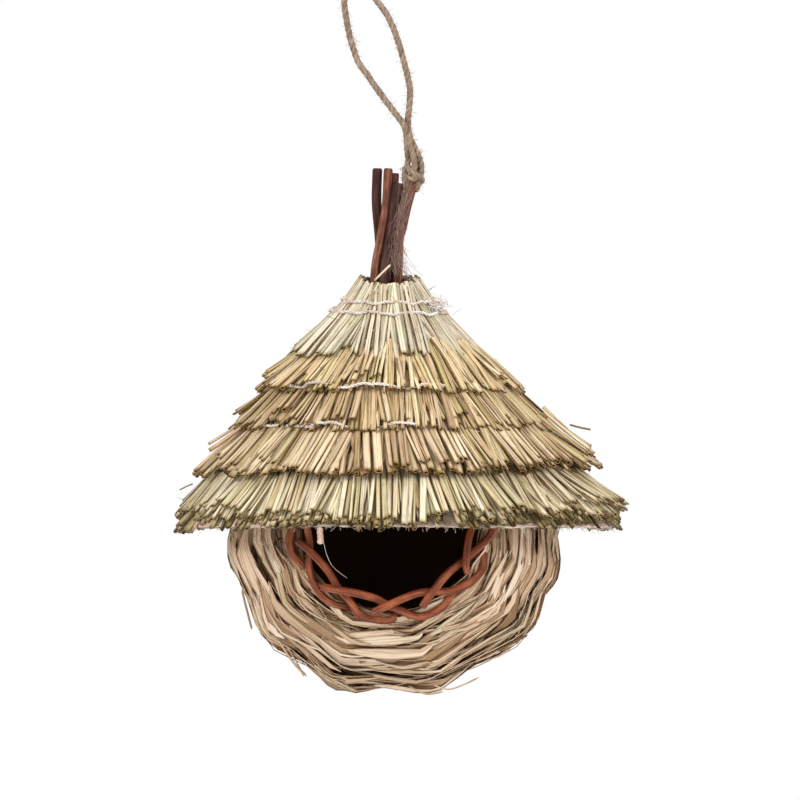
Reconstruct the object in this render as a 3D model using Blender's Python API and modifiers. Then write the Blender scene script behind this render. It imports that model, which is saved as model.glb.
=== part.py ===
"""A hanging woven bird nest with a thatched straw roof.

A globe of grass strips, open at the front, hangs under a round roof. Willow canes border
the mouth. The roof is a cloth cone with five tiers of straw sewn on it, and a bundle of
sticks stands in its top. A jute cord is tied round one stick and makes the hanging loop.

Units are metres. +Z is up, the mouth faces -Y and +X is to the right of it. The origin is
the top of the hanging loop. Shapes are first worked out in the nest's own place, where
the origin is on the roof's axis at the height of the eave, and are then moved into it.
"""

import math

import bpy
from mathutils import Matrix, Vector

MM = 0.001
GAP = 0.3 * MM

# The top of the hanging loop, seen from the middle of the eave.
LOOP_TOP = Vector((-12.1, 0.0, 180.6)) * MM

# Globe: a round basket, turned about the axis that runs out of its mouth, and a little
# flatter along it. The mouth looks up very slightly.
GLOBE_RADIUS = 55.3 * MM
GLOBE_DEPTH = 52.1 * MM
GLOBE_WALL = 3.5 * MM
GLOBE_STEPS = 36
GLOBE_RINGS = 10
MOUTH_RADIUS = 33.0 * MM
MOUTH_TURN = Matrix.Rotation(math.radians(90.0 - 1.2), 4, "X")

# Canes of the mouth's border. Each one starts in front, crosses behind the next, then
# lies outside it. A station is an angle along the cane, a distance from the mouth's
# middle, and how far it stands in front of the border's own plane.
CANE_COUNT = 11
CANE_DIAMETER = 2.7 * MM
CANE_POINTS = 12
BORDER_OUT = 45.3 * MM
FIRST_CANE_DEG = -78.0
CANE_STATIONS = (
    (0.0, 31.0, 1.75),
    (15.0, 28.4, 1.75),
    (32.0, 26.3, 0.2),
    (46.0, 28.8, -1.75),
    (62.0, 33.0, -1.9),
    (84.0, 33.6, -1.9),
)

# Roof: a slope from the ring round the sticks down to the rim, bulging over the globe.
ROOF_TOP = Vector((9.8, 82.0)) * MM
ROOF_RIM = Vector((72.0, -1.0)) * MM
ROOF_BULGE = 2.5 * MM
ROOF_STEPS = 32
LINING_THICKNESS = 1.0 * MM

# Tiers of straw: where each begins and ends down the slope, and how far its underside
# has lifted off the lining at its lower edge.
STRAW_THICKNESS = 2.0 * MM
TIER_SPANS = (
    (-2.0, 34.0, 4.2),
    (26.0, 49.0, 4.3),
    (40.0, 64.0, 4.5),
    (54.0, 84.0, 3.9),
    (75.0, 104.0, 2.3),
)
TIER_FOOT = 0.5 * MM

# Rows of stitching: the tier each one holds, and its place down the slope.
THREAD_DIAMETER = 0.7 * MM
STITCH_ROWS = ((0, 8.0), (0, 13.5), (2, 52.0), (3, 67.0))

# Sticks of the finial: diameter, then points from the cut top down into the roof.
STICKS = {
    "stick_a": (3.3, ((-5.9, 1.6, 119.4), (-6.2, 2.3, 108.0), (-5.4, 3.3, 98.0),
                      (-4.8, 3.9, 88.0), (-4.7, 3.9, 69.0))),
    "stick_b": (2.7, ((-2.2, 0.3, 119.3), (-3.0, 0.3, 106.0), (-4.7, 0.3, 96.0),
                      (-6.5, 0.3, 86.0), (-7.6, 0.3, 70.0))),
    "stick_c": (2.0, ((0.3, 3.2, 116.8), (-0.7, 3.5, 98.0), (-1.4, 3.7, 70.0))),
    "stick_d": (3.9, ((1.4, -1.3, 114.3), (-0.1, -1.3, 103.0), (-2.9, -1.3, 86.0),
                      (-4.4, -1.3, 71.0))),
    "stick_e": (3.0, ((6.4, 0.8, 119.2), (5.5, 0.8, 115.0), (2.3, 0.8, 98.0),
                      (1.3, 0.8, 88.0), (1.1, 0.8, 68.0))),
}

# Jute cord: a knot round the top of one stick, a loop above it and a tail below.
CORD_DIAMETER = 2.2 * MM
CORD_POINTS = 54
CORD_ROUTE = (
    (7.4, 1.5, 121.6), (6.4, 1.5, 125.5), (5.0, 1.5, 129.5), (4.4, 1.4, 132.8),
    (4.3, 1.2, 135.9), (4.8, 0.8, 140.0), (5.0, 0.4, 146.0), (4.0, 0.2, 151.0),
    (2.7, 0.0, 156.0), (1.3, 0.0, 161.0), (-0.5, 0.0, 166.0), (-2.8, 0.0, 170.8),
    (-6.1, 0.0, 175.4), (-8.1, 0.0, 178.4), (-10.3, 0.0, 180.2), (-12.1, 0.0, 180.6),
    (-14.5, 0.0, 180.0), (-16.4, 0.0, 178.1), (-16.9, 0.0, 175.2), (-16.4, 0.0, 170.3),
    (-15.2, 0.0, 164.0), (-14.0, 0.0, 159.7), (-12.0, -0.2, 154.3), (-9.3, -0.4, 150.7),
    (-7.3, -0.6, 147.7), (-3.7, -1.0, 142.7), (0.6, -1.4, 137.0), (3.0, -1.5, 133.7),
    (3.9, -1.5, 130.3), (4.1, -1.4, 126.5), (4.6, -1.0, 121.6),
)
TAIL_DIAMETER = 1.6 * MM
TAIL_POINTS = 12
TAIL_ROUTE = (
    (3.8, -3.2, 112.0), (2.9, -2.8, 104.5), (1.7, -2.1, 95.3), (0.9, -2.0, 88.5),
    (1.6, -2.6, 84.0),
)
KNOT_MIDDLE = Vector((6.25, 0.8, 117.8)) * MM
KNOT_HEIGHT = 5.2 * MM
KNOT_INNER_RADIUS = 1.95 * MM
KNOT_OUTER_RADIUS = 3.1 * MM
KNOT_STEPS = 12
STICK_E_LEAN_DEG = 12.0

GRASS = (0.42, 0.31, 0.20)
WILLOW = (0.30, 0.11, 0.05)
BARK = (0.08, 0.03, 0.025)
STRAW = (0.56, 0.44, 0.26)
CLOTH = (0.74, 0.60, 0.52)
JUTE = (0.36, 0.27, 0.19)


def clear_scene():
    """Remove the objects that a new scene starts with."""
    for obj in list(bpy.data.objects):
        bpy.data.objects.remove(obj, do_unlink=True)


def make_material(name, colour, roughness):
    """A plain Principled material in the piece's own colour."""
    material = bpy.data.materials.new(name)
    material.use_nodes = True
    shader = material.node_tree.nodes["Principled BSDF"]
    shader.inputs["Base Color"].default_value = (*colour, 1.0)
    shader.inputs["Roughness"].default_value = roughness
    shader.inputs["Metallic"].default_value = 0.0
    return material


def add_piece(collection, name, data, colour, roughness=0.85, place=None):
    """Put new mesh or curve data in the collection as one named piece."""
    piece = bpy.data.objects.new(name, data)
    piece.data.materials.append(make_material(name + "_finish", colour, roughness))
    piece.matrix_world = Matrix.Translation(-LOOP_TOP) @ (place or Matrix.Identity(4))
    collection.objects.link(piece)
    return piece


def turned_piece(collection, name, profile, steps, thickness, colour, place=None):
    """Turn an open profile of (radius, height) about Z and thicken it inwards."""
    mesh = bpy.data.meshes.new(name)
    edges = [(i, i + 1) for i in range(len(profile) - 1)]
    mesh.from_pydata([(radius, 0.0, height) for radius, height in profile], edges, [])
    piece = add_piece(collection, name, mesh, colour, place=place)
    screw = piece.modifiers.new("turn", "SCREW")
    screw.axis = "Z"
    screw.angle = math.tau
    screw.steps = steps
    screw.render_steps = steps
    screw.use_merge_vertices = True
    screw.merge_threshold = 0.00001
    if thickness:
        wall = piece.modifiers.new("wall", "SOLIDIFY")
        wall.thickness = thickness
        wall.offset = -1.0
        wall.use_even_offset = True
    return piece


def smooth_route(route, count):
    """Read evenly spaced points from a smooth curve through the route's own points."""
    spots = [Vector(spot) * MM for spot in route]
    spots = [2 * spots[0] - spots[1], *spots, 2 * spots[-1] - spots[-2]]
    dense = []
    for before, start, end, after in zip(spots, spots[1:], spots[2:], spots[3:]):
        for step in range(16):
            t = step / 16
            dense.append(0.5 * (2 * start + (end - before) * t
                                + (2 * before - 5 * start + 4 * end - after) * t ** 2
                                + (3 * start - before - 3 * end + after) * t ** 3))
    dense.append(spots[-2])
    travelled = [0.0]
    for first, second in zip(dense, dense[1:]):
        travelled.append(travelled[-1] + (second - first).length)
    points = []
    at = 0
    for index in range(count):
        target = travelled[-1] * index / (count - 1)
        while at < len(dense) - 2 and travelled[at + 1] < target:
            at += 1
        share = (target - travelled[at]) / (travelled[at + 1] - travelled[at])
        points.append(dense[at].lerp(dense[at + 1], min(max(share, 0.0), 1.0)))
    return points


def tube(collection, name, points, diameter, colour, place=None):
    """A round rod or cord along a row of points, with closed ends."""
    curve = bpy.data.curves.new(name, "CURVE")
    curve.dimensions = "3D"
    curve.bevel_depth = diameter / 2
    curve.bevel_resolution = 2
    curve.use_fill_caps = True
    spline = curve.splines.new("POLY")
    spline.points.add(len(points) - 1)
    for spot, point in zip(spline.points, points):
        spot.co = (*point, 1.0)
    return add_piece(collection, name, curve, colour, place=place)


def slope_point(down, out):
    """Radius and height of a point down the roof's slope and out from its lining."""
    along = ROOF_RIM - ROOF_TOP
    share = down / along.length
    along.normalize()
    outward = Vector((-along.y, along.x))
    return ROOF_TOP + along * down + outward * (out + ROOF_BULGE * math.sin(math.pi * share))


def tier_underside(tier, down):
    """Distance between the lining and the underside of a tier, down the slope."""
    start, end, lift = TIER_SPANS[tier]
    return TIER_FOOT + (lift * MM - TIER_FOOT) * (down / MM - start) / (end - start)


def build_globe(collection):
    """The woven globe: one open shell, turned about the mouth's own axis."""
    first = math.asin(MOUTH_RADIUS / GLOBE_RADIUS)
    profile = []
    for ring in range(GLOBE_RINGS):
        angle = first + (math.pi - first) * ring / GLOBE_RINGS
        profile.append((GLOBE_RADIUS * math.sin(angle), GLOBE_DEPTH * math.cos(angle)))
    profile.append((0.0, -GLOBE_DEPTH))
    turned_piece(collection, "nest_basket", profile, GLOBE_STEPS, GLOBE_WALL, GRASS, MOUTH_TURN)


def cane_station(angle):
    """Distance from the mouth's middle and height, part of the way along a cane."""
    pairs = zip(CANE_STATIONS, CANE_STATIONS[1:])
    first, last = next(pair for pair in pairs if angle <= pair[1][0])
    share = (angle - first[0]) / (last[0] - first[0])
    share = share * share * (3.0 - 2.0 * share)
    return [(a + (b - a) * share) * MM for a, b in zip(first[1:], last[1:])]


def build_border(collection):
    """The canes round the mouth, each woven over one neighbour and under the next."""
    reach = CANE_STATIONS[-1][0]
    for index in range(CANE_COUNT):
        start = FIRST_CANE_DEG + 360.0 * index / CANE_COUNT
        points = []
        for step in range(CANE_POINTS):
            angle = reach * step / (CANE_POINTS - 1)
            radius, height = cane_station(angle)
            turn = math.radians(start + angle)
            points.append(Vector((radius * math.sin(turn), -radius * math.cos(turn),
                                  BORDER_OUT + height)))
        tube(collection, f"border_cane_{index + 1:02d}", points, CANE_DIAMETER, WILLOW,
             MOUTH_TURN)


def build_roof(collection):
    """The cloth cone, the tiers of straw on it and the rows of thread that hold them."""
    slope = (ROOF_RIM - ROOF_TOP).length
    profile = [tuple(slope_point(slope * step / 6, 0.0)) for step in range(7)]
    turned_piece(collection, "roof_lining", profile, ROOF_STEPS, LINING_THICKNESS, CLOTH)
    for tier, (start, end, _) in enumerate(TIER_SPANS):
        profile = []
        for step in range(4):
            down = (start + (end - start) * step / 3) * MM
            out = tier_underside(tier, down) + STRAW_THICKNESS
            profile.append(tuple(slope_point(down, out)))
        turned_piece(collection, f"thatch_tier_{tier + 1}", profile, ROOF_STEPS,
                     STRAW_THICKNESS, STRAW)
    for row, (tier, down) in enumerate(STITCH_ROWS):
        lift = tier_underside(tier, down * MM) + STRAW_THICKNESS + GAP + THREAD_DIAMETER / 2
        radius, height = slope_point(down * MM, lift)
        bpy.ops.mesh.primitive_torus_add(
            major_segments=ROOF_STEPS, minor_segments=4,
            major_radius=radius, minor_radius=THREAD_DIAMETER / 2)
        ring = bpy.context.object
        mesh = ring.data
        bpy.data.objects.remove(ring)
        add_piece(collection, f"stitch_row_{row + 1}", mesh, CLOTH,
                  place=Matrix.Translation((0.0, 0.0, height)))


def build_finial(collection):
    """The bundle of sticks that stands in the top of the roof."""
    for name, (diameter, route) in STICKS.items():
        colour = WILLOW if name == "stick_b" else BARK
        tube(collection, name, smooth_route(route, 8), diameter * MM, colour)


def build_cord(collection):
    """The hanging loop, the knot round the stick's top and the cord's tail."""
    tube(collection, "hang_cord", smooth_route(CORD_ROUTE, CORD_POINTS), CORD_DIAMETER, JUTE)
    tube(collection, "cord_tail", smooth_route(TAIL_ROUTE, TAIL_POINTS), TAIL_DIAMETER, JUTE)
    half = KNOT_HEIGHT / 2
    middle = (KNOT_INNER_RADIUS + KNOT_OUTER_RADIUS) / 2
    profile = ((KNOT_INNER_RADIUS, half), (middle, half), (KNOT_OUTER_RADIUS, 0.6 * half),
               (KNOT_OUTER_RADIUS, -0.6 * half), (middle, -half), (KNOT_INNER_RADIUS, -half),
               (KNOT_INNER_RADIUS, half))
    lean = Matrix.Rotation(math.radians(STICK_E_LEAN_DEG), 4, "Y")
    knot = turned_piece(collection, "cord_knot", profile, KNOT_STEPS, 0.0, JUTE,
                        Matrix.Translation(KNOT_MIDDLE) @ lean)
    weld = knot.modifiers.new("weld", "WELD")
    weld.merge_threshold = 0.00001


def main():
    clear_scene()
    collection = bpy.data.collections.new("hanging_bird_nest")
    bpy.context.scene.collection.children.link(collection)
    build_globe(collection)
    build_border(collection)
    build_roof(collection)
    build_finial(collection)
    build_cord(collection)


main()
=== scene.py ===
# %% [markdown]
# # A hanging woven nest with a thatched roof
#
# The object is a small nest house for birds. A globe of woven leaf strips hangs under a
# round straw roof, willow canes border its mouth, and jute twine is tied to a bundle of
# sticks in the top of the roof. The solid model gives the nest's place and overall size.
# This script gives each piece its real surface, and most pieces here are many small ones:
# about 3800 straws, 1200 leaf strips and 1550 jute fibres.
#
# The first step loads the solid model and moves each part's place into its mesh.

# %% Load the frame
import math
import bpy
import numpy as np
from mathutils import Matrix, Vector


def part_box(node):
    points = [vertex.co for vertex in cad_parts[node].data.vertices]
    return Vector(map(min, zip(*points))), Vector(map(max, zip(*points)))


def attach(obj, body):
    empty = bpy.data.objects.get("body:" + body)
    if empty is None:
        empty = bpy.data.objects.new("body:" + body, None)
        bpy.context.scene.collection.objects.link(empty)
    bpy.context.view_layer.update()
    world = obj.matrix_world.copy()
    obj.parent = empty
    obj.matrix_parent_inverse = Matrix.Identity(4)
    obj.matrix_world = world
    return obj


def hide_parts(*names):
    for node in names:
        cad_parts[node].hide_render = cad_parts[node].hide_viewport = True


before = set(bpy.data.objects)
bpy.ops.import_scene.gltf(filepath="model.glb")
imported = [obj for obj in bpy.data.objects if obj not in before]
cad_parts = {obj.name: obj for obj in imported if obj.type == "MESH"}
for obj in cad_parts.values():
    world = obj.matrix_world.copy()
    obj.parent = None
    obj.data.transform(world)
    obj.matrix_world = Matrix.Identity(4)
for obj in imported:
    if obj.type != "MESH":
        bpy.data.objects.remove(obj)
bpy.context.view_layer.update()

# %% [markdown]
# Everything is placed from one point: the roof's axis at the height of the eave. The globe
# is turned about that same point, so the middle of its box gives it. Sizes are easier to
# read in millimetres, so lists of sizes are in millimetres and are multiplied by MM.

# %% The nest's own place
MM = 0.001
globe_low, globe_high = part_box("nest_basket")
lining_low, lining_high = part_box("roof_lining")
NEST = np.array([(globe_low.x + globe_high.x) / 2, (lining_low.y + lining_high.y) / 2,
                 (globe_low.z + globe_high.z) / 2])
GLOBE_RADIUS = (globe_high.x - globe_low.x) / 2
# All the scatter comes from this one seeded source, so each run gives the same nest.
rng = np.random.default_rng(7)
print("nest stands at", NEST, "globe radius", GLOBE_RADIUS)

# %% [markdown]
# ## Camera, light and floor
#
# The nest is looked at from the front by a long lens from a good way off, which keeps the
# eave almost straight. The camera stands a little to the right of the mouth's axis and a
# little below the eave. The nest hangs in front of white, in the light of a white tent with
# two soft boxes in front. The floor is a pale disc well below the nest. The colours are
# shown as they are, without a film curve, because the background has to stay white. The
# backdrop is brighter than the tent's own light, so that the gaps between straws stay dark.

# %% Camera
CAMERA_AWAY = 3.0
VIEW_WIDTH = 0.2667
SENSOR_WIDTH = 36.0
CAMERA_RAISED = math.radians(-1.0)
CAMERA_TURNED = math.radians(2.0)
view_middle = NEST + np.array([1.7, 0.0, 42.0]) * MM
camera_data = bpy.data.cameras.new("camera")
camera_data.sensor_width = SENSOR_WIDTH
camera_data.lens = SENSOR_WIDTH * CAMERA_AWAY / VIEW_WIDTH
camera_data.clip_start = 0.01
camera_data.clip_end = 20.0
camera = bpy.data.objects.new("camera", camera_data)
camera.location = view_middle + CAMERA_AWAY * np.array(
    [math.sin(CAMERA_TURNED) * math.cos(CAMERA_RAISED),
     -math.cos(CAMERA_TURNED) * math.cos(CAMERA_RAISED), math.sin(CAMERA_RAISED)])
camera.rotation_euler = (math.pi / 2 - CAMERA_RAISED, 0.0, CAMERA_TURNED)
bpy.context.scene.collection.objects.link(camera)
bpy.context.scene.camera = camera
bpy.context.scene.view_settings.view_transform = "Standard"
print("lens", round(camera_data.lens), "mm")

print("camera stands at", [round(value, 3) for value in camera.location])

# %% [markdown]
# A material is a tree of nodes. It could be joined by hand in the shader editor, but in a
# script one helper that adds a node with its settings and links keeps the trees short. A
# second one turns the hex colours to the linear values that the renderer works in.

# %% Helpers for shader nodes and colours


def add_node(tree, kind, settings=None, inputs=None, stops=()):
    """Add a node with its settings, its inputs (values or outputs) and its ramp's stops."""
    node = tree.nodes.new("ShaderNode" + kind)
    for key, value in (settings or {}).items():
        setattr(node, key, value)
    for key, value in (inputs or {}).items():
        if isinstance(value, bpy.types.NodeSocket):
            tree.links.new(value, node.inputs[key])
        else:
            node.inputs[key].default_value = value
    for _ in stops[2:]:
        node.color_ramp.elements.new(1.0)
    for index, (place, code) in enumerate(stops):
        node.color_ramp.elements[index].position = place
        node.color_ramp.elements[index].color = colour(code)
    return node


def colour(hex_code):
    """Linear colour from an sRGB hex code."""
    parts = [int(hex_code[i:i + 2], 16) / 255 for i in (0, 2, 4)]
    return [p / 12.92 if p <= 0.04045 else ((p + 0.055) / 1.055) ** 2.4 for p in parts] + [1.0]


def new_finish(name):
    """A new material and its node tree, empty but for the output."""
    finish = bpy.data.materials.new(name)
    finish.use_nodes = True
    finish.node_tree.nodes.clear()
    return finish, finish.node_tree


def set_shader(tree, inputs, relief=None):
    """The one shader of a finish. Relief is a height, its strength and its depth in mm."""
    if relief:
        inputs["Normal"] = add_node(tree, "Bump", {}, {
            "Height": relief[0], "Strength": relief[1],
            "Distance": relief[2] * MM}).outputs["Normal"]
    shader = add_node(tree, "BsdfPrincipled", inputs=inputs)
    add_node(tree, "OutputMaterial", inputs={"Surface": shader.outputs[0]})


print("white is", colour("ffffff"))

# %% [markdown]
# White all round lights the nest evenly, like a cloth tent, and the two soft boxes in front
# give the straws a shine and their soft shadows.

# %% Light tent, soft boxes and floor
TENT_LIGHT = 0.78
FLOOR_HEIGHT = -0.42
FLOOR_RADIUS = 0.6
world = bpy.data.worlds.new("white_tent")
world.use_nodes = True
seen = add_node(world.node_tree, "LightPath").outputs["Is Camera Ray"]
strength = add_node(world.node_tree, "MapRange", {}, {"Value": seen, "To Min": TENT_LIGHT,
                                                      "To Max": 1.0}).outputs[0]
backdrop = world.node_tree.nodes["Background"]
backdrop.inputs["Color"].default_value = colour("ffffff")
world.node_tree.links.new(strength, backdrop.inputs["Strength"])
bpy.context.scene.world = world


def soft_box(name, place, size, watts):
    """A square area light that faces the nest and isn't seen itself."""
    data = bpy.data.lights.new(name, "AREA")
    data.size = size
    data.energy = watts
    box = bpy.data.objects.new(name, data)
    box.location = place
    aim = NEST - np.array(place)
    box.rotation_euler = (math.atan2(math.hypot(aim[0], aim[1]), -aim[2]), 0.0,
                          math.atan2(-aim[0], aim[1]))
    box.visible_camera = False
    bpy.context.scene.collection.objects.link(box)


soft_box("soft_box_left", (-0.8, -0.9, 0.4), 0.35, 7.5)
soft_box("soft_box_right", (0.8, -0.9, 0.4), 0.5, 8.5)

bpy.ops.object.select_all(action="DESELECT")
bpy.ops.mesh.primitive_circle_add(vertices=96, radius=FLOOR_RADIUS, fill_type="NGON",
                                  location=(NEST[0], NEST[1], FLOOR_HEIGHT))
floor = bpy.context.object
floor.name = "floor"
floor_paint, tree = new_finish("matt_white_paint")
set_shader(tree, {"Base Color": colour("f6f5f3"), "Roughness": 0.9})
floor.data.materials.append(floor_paint)
print("light and floor are ready")

# %% [markdown]
# ## Forms and sweeps
#
# A straw, a leaf strip, a cane and a ply of twine are all the same kind of thing: one
# cross-section drawn out along a line. Each is modelled once, by hand, as a form one unit
# long that stands on +Z. It is then laid along as many lines as there are straws or strips.
# A curve object could do this for one line, but not for a thousand in one mesh with a
# width, a tilt and a tone for each.
#
# The copies carry four attributes for their materials. "grain" is a place in the piece's
# own straw or strip: across, through and along it, in metres. "tone" is one number for
# each copy, "reach" runs from 0 at its root to 1 at its tip, and "side" runs from -1 to 1
# across it.

# %% Edit-mode helpers


def begin_edit(obj, wanted=None):
    """Go into edit mode with only the faces selected whose middle and normal pass the test."""
    bpy.ops.object.mode_set(mode="OBJECT")
    for part in (obj.data.vertices, obj.data.edges, obj.data.polygons):
        part.foreach_set("select", [wanted is None] * len(part))
    for face in obj.data.polygons:
        face.select = wanted is None or wanted(face.center, face.normal)
    bpy.ops.object.mode_set(mode="EDIT")
    bpy.ops.mesh.select_mode(type="FACE")


def add_rod(sides, rings):
    """A round rod of radius 1 from z = 0 to z = 1, cut into rings along its length."""
    bpy.ops.object.select_all(action="DESELECT")
    bpy.ops.mesh.primitive_cylinder_add(vertices=sides, radius=1.0, depth=1.0,
                                        location=(0.0, 0.0, 0.5))
    rod = bpy.context.object
    bpy.ops.object.transform_apply(location=True, rotation=False, scale=False)
    for ring in range(1, rings):
        begin_edit(rod)
        bpy.ops.mesh.bisect(plane_co=(0.0, 0.0, ring / rings), plane_no=(0.0, 0.0, 1.0))
    bpy.ops.object.mode_set(mode="OBJECT")
    return rod


def take_form(obj, inner=None):
    """Read a modelled form into arrays and remove it. Faces that pass the test use slot 1."""
    mesh = obj.data
    spots = np.empty(len(mesh.vertices) * 3)
    mesh.vertices.foreach_get("co", spots)
    loops = np.empty(len(mesh.loops), dtype=np.int64)
    mesh.loops.foreach_get("vertex_index", loops)
    starts = np.array([face.loop_start for face in mesh.polygons])
    slots = [int(inner is not None and inner(face.center)) for face in mesh.polygons]
    bpy.data.objects.remove(obj)
    return {"spots": spots.reshape(-1, 3), "loops": loops, "starts": starts,
            "slots": np.array(slots)}


print("helpers:", begin_edit.__name__, add_rod.__name__, take_form.__name__)

# %% [markdown]
# The sweep sets the form's cross-sections square to each line and joins all the copies in
# one mesh. A finished piece then has its sharp edges marked, and is told which body it
# rides on and which solid of the model it stands for.

# %% The sweep itself


def unit(vectors):
    """The same vectors, one unit long."""
    return vectors / np.maximum(np.linalg.norm(vectors, axis=-1, keepdims=True), 1e-12)


def per_point(values, count, steps):
    """One size, one for each copy, or one for each point, as one for each point."""
    values = np.asarray(values, dtype=float)
    if values.ndim == 1:
        values = values[:, None]
    return np.broadcast_to(values, (count, steps))


def sweep(name, form, paths, ups, widths, heights, finishes, tones=None, slants=None,
          curls=None):
    """Lay a form along each path and join the copies in one mesh.

    paths and ups are arrays of (copy, point, xyz); widths and heights are half sizes for
    each copy or each of its points. A slant cuts the tip askew, and a curl bends the
    section's edges up.
    """
    paths = np.asarray(paths, dtype=float)
    count, steps = paths.shape[:2]
    ups = np.broadcast_to(ups, paths.shape)
    widths = per_point(widths, count, steps)
    heights = per_point(heights, count, steps)
    tones = rng.random(count) if tones is None else np.asarray(tones)
    slants = np.zeros(count) if slants is None else slants
    curls = np.zeros(count) if curls is None else curls
    run = unit(np.gradient(paths, axis=1))
    across = unit(np.cross(run, ups))
    lift = np.cross(across, run)
    spots = form["spots"]
    along = np.clip(spots[:, 2], 0.0, 1.0) * (steps - 1)
    low = np.minimum(along.astype(int), steps - 2)
    share = along - low

    def at(values):
        return values[:, low] * (1 - share)[:, None] + values[:, low + 1] * share[:, None]

    wide = at(widths[..., None])[..., 0] * spots[:, 0]
    high = at(heights[..., None])[..., 0] * spots[:, 1] + curls[:, None] * wide ** 2
    points = at(paths) + at(across) * wide[..., None] + at(lift) * high[..., None]
    askew = (spots[:, 2] > 0.999) * spots[:, 0]
    points += at(run) * (slants[:, None] * askew)[..., None]
    length = np.concatenate([np.zeros((count, 1)), np.cumsum(
        np.linalg.norm(np.diff(paths, axis=1), axis=2), axis=1)], axis=1)
    far = at(length[..., None])[..., 0] + tones[:, None]
    grain = np.stack([wide, high, far], axis=-1)

    mesh = bpy.data.meshes.new(name)
    mesh.vertices.add(count * len(spots))
    mesh.vertices.foreach_set("co", points.ravel())
    first = np.arange(count)[:, None]
    mesh.loops.add(count * len(form["loops"]))
    mesh.loops.foreach_set("vertex_index", (form["loops"] + first * len(spots)).ravel())
    mesh.polygons.add(count * len(form["starts"]))
    mesh.polygons.foreach_set("loop_start",
                              (form["starts"] + first * len(form["loops"])).ravel())
    mesh.polygons.foreach_set("material_index", np.tile(form["slots"], count))
    mesh.polygons.foreach_set("use_smooth", np.ones(len(mesh.polygons), dtype=bool))
    for finish in finishes:
        mesh.materials.append(finish)
    store = mesh.attributes.new("grain", "FLOAT_VECTOR", "POINT")
    store.data.foreach_set("vector", grain.ravel())
    for attribute, values in (("tone", np.repeat(tones % 1.0, len(spots))),
                              ("reach", np.tile(spots[:, 2], count)),
                              ("side", np.tile(spots[:, 0], count))):
        store = mesh.attributes.new(attribute, "FLOAT", "POINT")
        store.data.foreach_set("value", values)
    mesh.update(calc_edges=True)
    piece = bpy.data.objects.new(name, mesh)
    bpy.context.scene.collection.objects.link(piece)
    print(name, count, "copies,", len(mesh.polygons), "faces")
    return piece


def sharpen(piece, degrees):
    """Smooth shading that breaks at edges sharper than this."""
    bpy.ops.object.select_all(action="DESELECT")
    piece.select_set(True)
    bpy.context.view_layer.objects.active = piece
    bpy.ops.object.shade_smooth_by_angle(angle=math.radians(degrees))


def settle(piece, slot, *nodes):
    """Fix a piece to the nest and let it stand for these CAD nodes. The slot is not used."""
    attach(piece, "root")
    if nodes:
        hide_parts(*nodes)


print("helpers:", sweep.__name__, sharpen.__name__, settle.__name__)

# %% [markdown]
# ## Jute cord
#
# The loop is jute twine: three plies of rough brown fibre, twisted together to 2.2 mm. Both
# ends are tied to one of the sticks, and the loop leans over to the left. The line it
# follows is given as a list of points, and a smooth curve is read through it.
# The plies are then wound round that line. Winding real plies gives the cord its bumpy
# outline, which a smooth round tube doesn't have.

# %% The cord's line
CORD_DIAMETER = 2.2 * MM
CORD_ROUTE = np.array([
    (7.4, 1.5, 121.6), (6.4, 1.5, 125.5), (5.0, 1.5, 129.5), (4.4, 1.4, 132.8),
    (4.3, 1.2, 135.9), (4.8, 0.8, 140.0), (5.0, 0.4, 146.0), (4.0, 0.2, 151.0),
    (2.7, 0.0, 156.0), (1.3, 0.0, 161.0), (-0.5, 0.0, 166.0), (-2.8, 0.0, 170.8),
    (-6.1, 0.0, 175.4), (-8.1, 0.0, 178.4), (-10.3, 0.0, 180.2), (-12.1, 0.0, 180.6),
    (-14.5, 0.0, 180.0), (-16.4, 0.0, 178.1), (-16.9, 0.0, 175.2), (-16.4, 0.0, 170.3),
    (-15.2, 0.0, 164.0), (-14.0, 0.0, 159.7), (-12.0, -0.2, 154.3), (-9.3, -0.4, 150.7),
    (-7.3, -0.6, 147.7), (-3.7, -1.0, 142.7), (0.6, -1.4, 137.0), (3.0, -1.5, 133.7),
    (3.9, -1.5, 130.3), (4.1, -1.4, 126.5), (4.6, -1.0, 121.6),
]) * MM


def smooth_line(route, count):
    """Evenly spaced points on a smooth curve through a route's own points."""
    spots = np.vstack([2 * route[0] - route[1], route, 2 * route[-1] - route[-2]])
    t = (np.arange(20) / 20)[:, None]
    dense = []
    for before, start, end, after in zip(spots, spots[1:], spots[2:], spots[3:]):
        dense.append(0.5 * (2 * start + (end - before) * t
                            + (2 * before - 5 * start + 4 * end - after) * t ** 2
                            + (3 * start - before - 3 * end + after) * t ** 3))
    dense = np.vstack([*dense, route[-1]])
    far = np.concatenate([[0.0], np.cumsum(np.linalg.norm(np.diff(dense, axis=0), axis=1))])
    wanted = np.linspace(0.0, far[-1], count)
    return np.stack([np.interp(wanted, far, dense[:, axis]) for axis in range(3)], axis=1)


def line_length(line):
    return float(np.linalg.norm(np.diff(line, axis=0), axis=1).sum())


CORD_STEPS = 460
cord_line = smooth_line(CORD_ROUTE, CORD_STEPS) + NEST

# %% [markdown]
# Jute is a bast fibre, spun rough. It is matt and hairy, in patches of grey and brown, with
# fibres about 0.15 mm thick that run along each ply. The fibres are noise drawn out along
# the ply's own grain. The same few patterns serve the straw, leaf and bark as well: noise
# stretched along the grain, a stain that darkens, a spot of another colour, and a tone for
# each copy.

# %% Jute


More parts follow.
